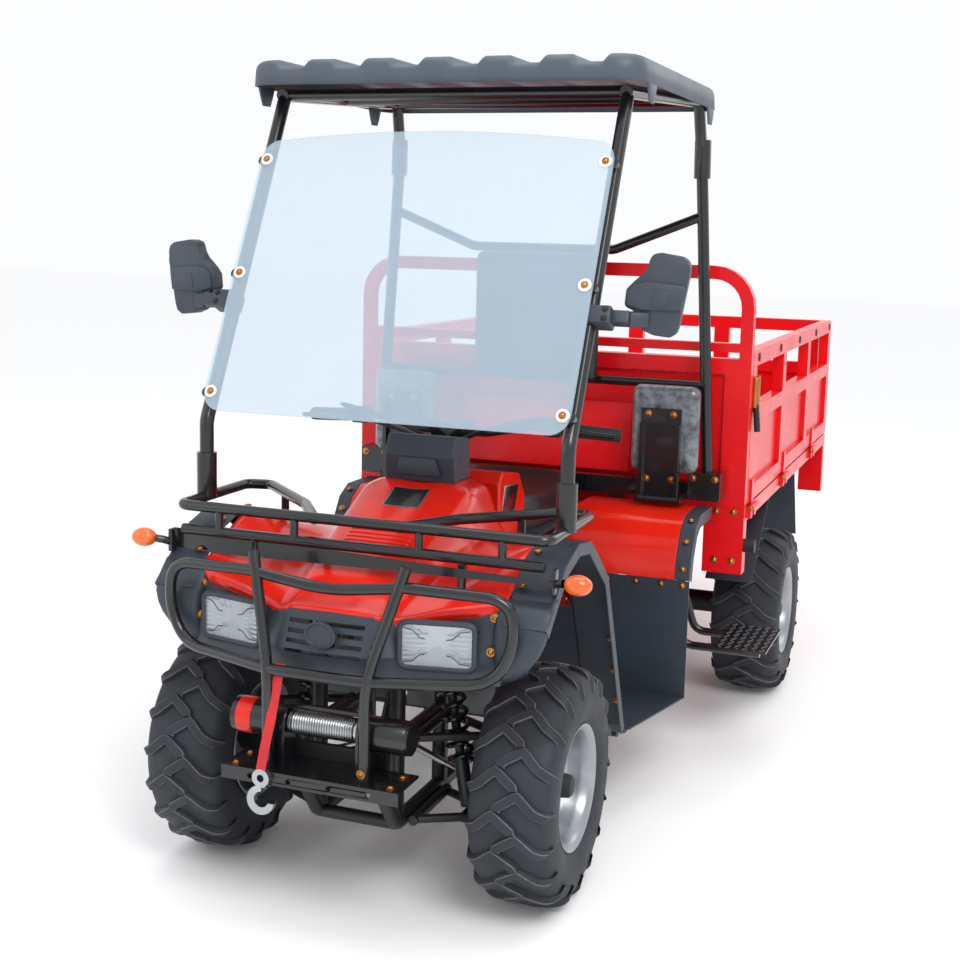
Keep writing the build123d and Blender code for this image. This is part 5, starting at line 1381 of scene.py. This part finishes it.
    def _screen_outline(self) -> list[tuple[float, float]]:
        """Draw the screen with round corners and a crowned top.

        Returns:
            Distance from the middle and height above the posts' bend, in order round the sheet.
        """
        radius = self.screen_corner
        top, low = self.screen_high - radius, self.screen_low + radius
        inner = self.half_width - radius
        outline = []
        for quarter, (x, z) in enumerate(((1, top), (-1, top), (-1, low), (1, low))):
            for step in range(9):
                turn = math.pi / 2 * (quarter + step / 8)
                outline.append((x * inner + radius * math.cos(turn), z + radius * math.sin(turn)))
            if quarter == 0:
                crown = self.screen_crown - self.screen_high
                for u in (1 - step / 6 for step in range(1, 12)):
                    outline.append((u * inner, self.screen_high + crown * (1 - u * u)))
        return outline

    def _screen(self) -> None:
        """Make the clear sheet and its washered bolts."""
        sheet = Piece("screen_sheet")
        outline = self._screen_outline()
        walls = sheet.grid([[self._on_screen(x, z, out) for x, z in outline] for out in self.SHEET],
                           closed=True)
        sheet.shape.faces.new([wall.verts[0] for wall in walls])
        sheet.shape.faces.new([wall.verts[3] for wall in reversed(walls)])
        sheet.finish(CLEAR_SHEET, "chassis", "clear_sheet", ["windscreen"], 30)
        washers, bolts = Piece("screen_washers"), Piece("screen_bolts")
        ahead = self._ahead()
        for sign in SIGNS:
            for share in self.SCREEN_BOLTS:
                spot = self._on_screen(sign * self.SCREEN_BOLT_X, share * self.POST_RISE, self.SHEET[1])
                washers.lathe(self.WASHER, spot, ahead, 32)
                bolts.bolt(spot + ahead * 3 * MM, ahead, Head.SCREEN)
        washers.finish(WHITE_NYLON, "chassis")
        bolts.finish(YELLOW_ZINC, "chassis", "steel")

    def _swung(self, piece: Piece, sign: int, outline: Pairs, low: float, high: float,
               round_mm: float) -> None:
        """Draw one outline of a mirror and swing it towards the rider.

        Args:
            piece: the mesh that gets it.
            sign: which side the mirror is on.
            outline: points outward and upward from the mirror's middle.
            low: where it starts along the vehicle.
            high: where it ends.
            round_mm: the width of its eased edges.
        """
        kept = set(piece.shape.verts)
        x, _, z = self.mirror
        piece.prism([(sign * (x + u), z + v) for u, v in outline], low, high, Axis.Y, round_mm)
        bmesh.ops.rotate(piece.shape, cent=on_side(sign, [self.mirror])[0],
                         matrix=Matrix.Rotation(self.mirror_turn * sign, 3, "Z"),
                         verts=[vert for vert in piece.shape.verts if vert not in kept])

    def _mirrors(self) -> None:
        """Mould each mirror's shell with its clamp, and lay the glass in its back."""
        shell, glass, bolts = Piece("mirror_shells"), Piece("mirror_glass"), Piece("mirror_bolts")
        lean = Matrix.Rotation(-self.lean, 3, "X")
        ahead = self._ahead()
        pane = [(self.PANE * u + 1, self.PANE * v) for u, v in self.SHELL]
        x, y, z = self.CLAMP_SEAT
        for sign in SIGNS:
            for outline, low, high, round_mm in self.LAYERS:
                self._swung(shell, sign, outline, low, high, round_mm)
            self._swung(glass, sign, pane, 158, 161.2, 1.0)
            arm = Matrix.Rotation(self.clamp_turn * sign, 3, "Z")
            shell.box(at(sign * 462, 94, 1302), (62, 52, 42), lean, 5)
            shell.box(at(sign * 508, 100, 1302), (44, 30, 30), lean, 4)
            shell.box(at(sign * 540, 122, 1300), (44, 44, 34), arm, 5)
            for rise in self.CLAMP_RISES:
                seat = at(sign * x, y + rise * math.sin(self.lean), z + rise * math.cos(self.lean))
                bolts.bolt(seat + ahead * self.CLAMP_AHEAD * MM, ahead, Head.CLAMP)
        shell.finish(MIRROR_PP, "chassis", "dark_plastic", ["mirrors"], 40)
        glass.finish(MIRROR_GLASS, "chassis")
        bolts.finish(BLACK_RUBBER, "chassis", "steel")


@dataclass
class Steering:
    """Controls on the handlebar, its cables and the panel on the pod in front of it."""

    head_y: float = 396.6
    head_z: float = 985.0
    cable_diameter: float = 7.0

    # Control points of the cables, from the lever to the column
    RUNS: ClassVar[dict[str, Sequence[Point]]] = {
        "throttle_cable": ((-262, 414, 1010), (-300, 349, 1042), (-230, 308, 1042), (-95, 317, 1004),
                           (-14, 368, 953)),
        "brake_cable_right": ((-262, 414, 1004), (-320, 360, 1012), (-250, 317, 1018), (-100, 328, 986),
                              (-12, 368, 948)),
        "brake_cable_left": ((262, 414, 1010), (310, 355, 1033), (235, 310, 1036), (95, 320, 1000),
                             (14, 368, 953)),
        "clutch_cable": ((262, 420, 1004), (285, 382, 1040), (190, 341, 1029), (85, 334, 987),
                         (12, 369, 948)),
    }
    POD_PANEL: ClassVar[Pairs] = ((-60, 902), (60, 902), (46, 944), (-46, 944))

    def build(self) -> None:
        """Add switch boxes, bar clamps, the pod's panel and the control cables."""
        boxes = Piece("switch_boxes")
        for sign in SIGNS:
            boxes.box(at(sign * 262, self.head_y + 36, self.head_z + 18), (46, 44, 40), None, 6)
            boxes.box(at(sign * 46, self.head_y, self.head_z + 12), (26, 46, 30), None, 5)
        boxes.finish(BLACK_RUBBER, "steering", "rubber")
        pod = Piece("dash_pod_panel")
        pod.prism(self.POD_PANEL, 183, 196, Axis.Y, 3)
        pod.finish(DARK_PP, "chassis", "dark_plastic")
        for name, points in self.RUNS.items():
            self._cable(name, points)

    def _cable(self, name: str, points: Sequence[Point]) -> None:
        """Hang one control cable that runs back into the steering head.

        Args:
            name: the cable's name.
            points: its control points, from the lever to the column.
        """
        data = bpy.data.curves.new(name, "CURVE")
        data.dimensions = "3D"
        data.bevel_depth = self.cable_diameter / 2 * MM
        data.bevel_resolution = 4
        data.resolution_u = 16
        data.use_fill_caps = True
        line = data.splines.new("NURBS")
        line.points.add(len(points) - 1)
        for knot, point in zip(line.points, points):
            knot.co = (*at(*point), 1.0)
        line.order_u = 3
        line.use_endpoint_u = True
        data.materials.append(BLACK_RUBBER.material())
        cable = bpy.data.objects.new(name, data)
        bpy.context.scene.collection.objects.link(cable)
        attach(cable, "steering")


@dataclass
class Seats:
    """Rider's saddle, backrest and the two folding seats."""

    fill: float = 0.8
    saddle_front: float = 606.0
    saddle_length: float = 378.0
    saddle_base: float = 702.0

    # Saddle's crest and half width, against the place along the vehicle
    CREST: ClassVar[Pairs] = ((606, 792), (660, 794), (780, 786), (880, 798), (940, 812), (984, 790))
    HALF_WIDTH: ClassVar[Pairs] = ((606, 128), (680, 150), (800, 158), (940, 158), (984, 140))

    def build(self) -> None:
        """Shape the padded pieces and bolt the brackets."""
        self._saddle()
        pad = Piece("backrest_cushion")
        pad.cushion((-188, 1026, 1056), (188, 1080, 1424), 22, 8)
        pad.finish(SEAT_VINYL, "chassis", "seat_skin", ["backrest_pad"], 60)
        for side, sign in SIDES:
            body = f"jump_seat_{side}"
            low, high = sorted((sign * 304, sign * 498))
            pad = Piece(f"folding_seat_{side}")
            pad.cushion((low, 1005, 815), (high, 1057, 1063), 24, 8)
            # The folding pads' film material carries painted highlights as pale patches
            pad.finish(SEAT_FILM, body, "seat_skin", [f"jump_seat_pad_{side}"], 60)
            bolts = Piece(f"folding_seat_bolts_{side}")
            for x in (360, 432):
                for z in (985, 800):
                    bolts.bolt(at(sign * x, 998, z), FORWARD, Head.BRACKET)
            bolts.finish(YELLOW_ZINC, body, "steel")

    def _saddle(self) -> None:
        """Loft the saddle over its side line."""
        piece = Piece("saddle")
        rows = []
        for y in (self.saddle_front + self.saddle_length * step / 32 for step in range(33)):
            rise = blend_through(self.CREST, y) - self.saddle_base
            half = blend_through(self.HALF_WIDTH, y)
            row = []
            for turn in (math.pi * step / 24 for step in range(25)):
                x = math.copysign(half * abs(math.cos(turn)) ** 0.35, math.cos(turn))
                row.append(at(x, y, self.saddle_base + rise * math.sin(turn) ** 0.45))
            rows.append(row)
        piece.grid(rows)
        for row in (rows[0], rows[-1]):
            piece.shape.faces.new([piece.shape.verts.new(point) for point in row])
        piece.weld(0.01)
        piece.finish(SEAT_VINYL, "chassis", "seat_skin", ["rider_seat"], 55)


@dataclass
class CargoBed:
    """Latches, plugs, lenses and bolts of the bed, bolts of the fenders, and the steps' chequer."""

    half: float = 611.0
    rail_z: float = 1134.0
    latch_y: float = 1234.0
    step: Point = (588.0, 1002.0, 335.6)
    chequer_pitch: tuple[float, float] = (24.0, 22.4)
    chequer_count: tuple[int, int] = (6, 12)
    chequer_size: Point = (17.0, 4.0, 2.0)

    # Middles of the hinges and plugs of a drop side, and plugs of the tailgate
    HINGES: ClassVar[Sequence[float]] = (1265.0, 1865.0, 2530.0)
    SIDE_PLUGS: ClassVar[Sequence[float]] = (1300, 1700, 2110, 2520, 2900)
    GATE_PLUGS: ClassVar[Sequence[float]] = (-520, -180, 180, 520)
    PLUG: ClassVar[Pairs] = ((0, 13), (2, 13), (3, 10), (3, TIP))
    # Handle of a latch, as steps outward from the side and back from the latch, and height
    HANDLE: ClassVar[Sequence[Point]] = ((7, 0, 1004), (11, 4, 962), (14, 8, 922))
    # Bolts that point forward, by head: distances from the middle, place along the vehicle and height
    FORWARD_BOLTS: ClassVar[Sequence[tuple[Head, Sequence[float], float, float]]] = (
        (Head.FRAME, (530, 580), 1172, 690), (Head.FRAME, (530, 580), 1172, 545),
        (Head.FLANGE, (230, 310, 390, 460, 518), 803.6, 548), (Head.BRACKET, (480, 544), 1060, 800))
    # Bolts round a fender's arch, as place along the vehicle, height and tilt
    ARCH_BOLTS: ClassVar[Sequence[Point]] = ((810, 592, 0.1), (838, 662, 0.55), (892, 711, 0.9))

    def build(self) -> None:
        """Dress each drop side, the tailgate and the fixed frame."""
        for side, sign in SIDES:
            self._drop_side(side, sign)
        gate = Piece("tailgate_plugs")
        for x in self.GATE_PLUGS:
            gate.lathe(self.PLUG, at(x, 2955, self.rail_z), BACKWARD, 24)
        gate.finish(BLACK_RUBBER, "tailgate", "rubber")
        amber = Piece("tail_turn_lenses")
        for sign in SIGNS:
            amber.box(at(sign * 492, 2952, 624), (30, 8, 62), None, 2.5)
        amber.finish(AMBER_LENS, "chassis", "amber_lens")
        self._bolts()
        self._chequer()

    def _drop_side(self, side: str, sign: int) -> None:
        """Add latch, handle and plugs to one side.

        Args:
            side: left or right.
            sign: which way is outward along X.
        """
        body = f"drop_side_{side}"
        latch = Piece(f"latch_{side}")
        latch.box(at(sign * (self.half + 5), self.latch_y, 1037), (13, 31, 90), None, 2)
        latch.tube([at(sign * (self.half + 12), self.latch_y, z) for z in (1000, 1086)], 6)
        latch.finish(YELLOW_ZINC, body, "steel")
        handle = Piece(f"latch_handle_{side}")
        handle.tube([at(sign * (self.half + out), self.latch_y + back, z) for out, back, z in self.HANDLE],
                    9, 16)
        handle.finish(BLACK_RUBBER, body, "rubber")
        plugs = Piece(f"rail_plugs_{side}")
        for y in self.SIDE_PLUGS:
            plugs.lathe(self.PLUG, at(sign * self.half, y, self.rail_z), LEFT * sign, 24)
        plugs.finish(BLACK_RUBBER, body, "rubber")

    def _bolts(self) -> None:
        """Set the bolts of the frame, the fenders and the hinges."""
        bolts = Piece("bed_and_fender_bolts")
        for sign in SIGNS:
            for head, xs, y, z in self.FORWARD_BOLTS:
                for x in xs:
                    bolts.bolt(at(sign * x, y, z), FORWARD, head)
            for y, z, tilt in self.ARCH_BOLTS:
                bolts.bolt(at(sign * 516, y, z), Vector((0, -1 + tilt, tilt)), Head.FLANGE)
            for y in self.HINGES:
                for end, along in ((-46, FORWARD), (46, BACKWARD)):
                    bolts.bolt(at(sign * (self.half + 11), y + end, 697), along, Head.HINGE)
        bolts.finish(YELLOW_ZINC, "chassis", "steel")

    def _chequer(self) -> None:
        """Raise the chequer of the steps."""
        chequer = Piece("step_chequer")
        x, y, z = self.step
        wide, long = self.chequer_pitch
        for sign in SIGNS:
            for i in range(self.chequer_count[0]):
                for j in range(self.chequer_count[1]):
                    turn = Matrix.Rotation(math.radians(45 if (i + j) % 2 else -45), 3, "Z")
                    chequer.box(at(sign * (x + wide * i), y + long * j, z), self.chequer_size, turn, 0.7)
        chequer.finish(CAST_ALLOY, "chassis", "steel")


@dataclass
class Underbody:
    """Coils and dampers of the front legs, and the round covers of the engine."""

    coil_turns: int = 8
    coil_steps: int = 18
    coil_radius: float = 28.0
    coil_start: float = 100.0
    coil_length: float = 240.0
    wire_radius: float = 5.5
    cover_z: float = 330.0
    cover_bolts: int = 6

    # Foot and head of the left leg
    LEG: ClassVar[Sequence[Point]] = ((219, 0, 184), (148, 0, 580))
    # A damper, as distance from its foot and radius, then the same back from its head
    DAMPER_LOW: ClassVar[Pairs] = ((0, TIP), (0, 17), (120, 17), (122, 11))
    DAMPER_HIGH: ClassVar[Pairs] = ((-60, 11), (-58, 22), (0, 24), (0, TIP))
    # Covers: face of the crankcase, way outward, place along the vehicle, radius and depth
    COVERS: ClassVar[Sequence[tuple[float, int, float, float, float]]] = (
        (176, 1, 548, 78, 7), (176, 1, 716, 88, 7), (-130, -1, 566, 84, 30), (-130, -1, 724, 70, 22))

    def build(self) -> None:
        """Dress the front legs and the engine."""
        self._legs()
        self._engine()

    def _legs(self) -> None:
        """Turn a damper for each leg and wind a coil round it."""
        coil, damper = Piece("front_coils"), Piece("front_dampers")
        for sign in SIGNS:
            foot, head = on_side(sign, self.LEG)
            axis = (head - foot).normalized()
            side = axis.orthogonal().normalized()
            up = axis.cross(side)
            run = (head - foot).length * PER_METRE
            damper.lathe([*self.DAMPER_LOW, *((run + along, radius) for along, radius in self.DAMPER_HIGH)],
                         foot, axis, 28)
            points = []
            count = self.coil_turns * self.coil_steps
            for step in range(count + 1):
                turn = 2 * math.pi * step / self.coil_steps
                spoke = side * math.cos(turn) + up * math.sin(turn)
                along = self.coil_start + self.coil_length * step / count
                points.append(foot + (axis * along + spoke * self.coil_radius) * MM)
            coil.tube(points, self.wire_radius, 8)
        coil.finish(BLACK_COAT, "chassis", "frame_paint", ["front_spring_legs"])
        damper.finish(BLACK_FRAME, "chassis", "steel")

    def _engine(self) -> None:
        """Close the crankcase with stepped round covers and their bolts."""
        covers, bolts = Piece("engine_covers"), Piece("engine_cover_bolts")
        for face, sign, y, size, deep in self.COVERS:
            foot, out = at(face, y, self.cover_z), LEFT * sign
            covers.lathe([(-1, size), (deep * 0.4, size), (deep * 0.7, size - 5), (deep * 0.7, size * 0.62),
                          (deep, size * 0.55), (deep, size * 0.3), (deep * 0.6, size * 0.26),
                          (deep * 0.6, TIP)], foot, out, 64)
            for bolt in range(self.cover_bolts):
                turn = 2 * math.pi * (bolt + 0.5) / self.cover_bolts
                spoke = Vector((0, math.cos(turn), math.sin(turn)))
                bolts.bolt(foot + (out * deep * 0.66 + spoke * (size - 11)) * MM, out, Head.COVER)
        covers.finish(CAST_ALLOY, "chassis", "cast_metal")
        bolts.finish(BRIGHT_ZINC, "chassis", "steel")


@dataclass
class Studio:
    """Pale floor, soft light and the camera."""

    lens_mm: float = 54.10
    shift_y: float = -0.0465
    azimuth: float = 20.46
    elevation: float = 8.17
    roll: float = 1.36
    eye: Point = (1325.0, -2944.0, 1489.0)
    aim: Point = (0.0, 700.0, 700.0)
    floor_size: float = 60.0
    floor_colour: str = "#FCFCFC"
    floor_roughness: float = 0.9
    sky_colour: str = "#FCFDFF"
    sky_strength: float = 1.0

    # Soft boxes: name, place in millimetres from the front axle, side in metres and power in watts
    BOXES: ClassVar[Sequence[tuple[str, Point, float, float]]] = (
        ("key", (2600, -2600, 4200), 2.2, 120), ("fill", (-3600, -2400, 2400), 3.0, 20),
        ("top", (0, 900, 5200), 3.5, 60), ("rim", (2600, 4600, 3400), 3.0, 40))

    def build(self) -> None:
        """Set the plain picture rendering, floor, lights and camera."""
        bpy.context.scene.view_settings.view_transform = "Standard"
        self._floor()
        self._lights()
        self._camera()

    def _floor(self) -> None:
        """Lay the plain floor."""
        mesh = bpy.data.meshes.new("floor")
        half = self.floor_size / 2
        corners = [(-half, -half, 0), (half, -half, 0), (half, half, 0), (-half, half, 0)]
        mesh.from_pydata(corners, [], [(0, 1, 2, 3)])
        floor = bpy.data.objects.new("floor", mesh)
        bpy.context.scene.collection.objects.link(floor)
        paper = bpy.data.materials.new("paper_backdrop_white")
        paper.use_nodes = True
        shader = paper.node_tree.nodes["Principled BSDF"]
        shader.inputs["Base Color"].default_value = linear(self.floor_colour)
        shader.inputs["Roughness"].default_value = self.floor_roughness
        mesh.materials.append(paper)

    def _lights(self) -> None:
        """Hang the soft boxes and set the room's even light."""
        world = bpy.data.worlds.new("studio")
        world.use_nodes = True
        sky = world.node_tree.nodes["Background"]
        sky.inputs["Color"].default_value = linear(self.sky_colour)
        sky.inputs["Strength"].default_value = self.sky_strength
        bpy.context.scene.world = world
        for name, place, size, power in self.BOXES:
            data = bpy.data.lights.new(name, "AREA")
            data.energy = power
            data.size = size
            lamp = bpy.data.objects.new(name, data)
            lamp.location = at(*place)
            lamp.rotation_euler = (at(*self.aim) - lamp.location).to_track_quat("-Z", "Y").to_euler()
            bpy.context.scene.collection.objects.link(lamp)

    def _camera(self) -> None:
        """Stand the camera where the picture was taken."""
        data = bpy.data.cameras.new("camera")
        data.lens = self.lens_mm
        data.shift_y = self.shift_y
        camera = bpy.data.objects.new("camera", data)
        bpy.context.scene.collection.objects.link(camera)
        turn, rise = math.radians(self.azimuth), math.radians(self.elevation)
        back = Vector((math.sin(turn) * math.cos(rise), -math.cos(turn) * math.cos(rise), math.sin(rise)))
        look = (-back).to_track_quat("-Z", "Y").to_matrix()
        camera.matrix_world = Matrix.Translation(at(*self.eye)) @ (
            look @ Matrix.Rotation(math.radians(self.roll), 3, "Z")).to_4x4()
        bpy.context.scene.camera = camera


def main() -> None:
    """Build the scene in order and report each piece."""
    logging.basicConfig(level=logging.INFO, format="%(message)s")
    Studio().build()
    for finish, nodes in FINISH_NODES.items():
        for node in nodes:
            dress(node, finish, EASED_MM.get(node, EASE_MM))
    for axle, x, y, width in (("front", 394.0, 0.0, 190.0), ("rear", 564.0, 1755.0, 215.0)):
        for side, _ in SIDES:
            Wheel(axle, side, x, y, width).build()
    for part in (Bonnet(), FrontGuard(), Cab(), Steering(), Seats(), CargoBed(), Underbody()):
        part.build()


if __name__ == "__main__":
    main()
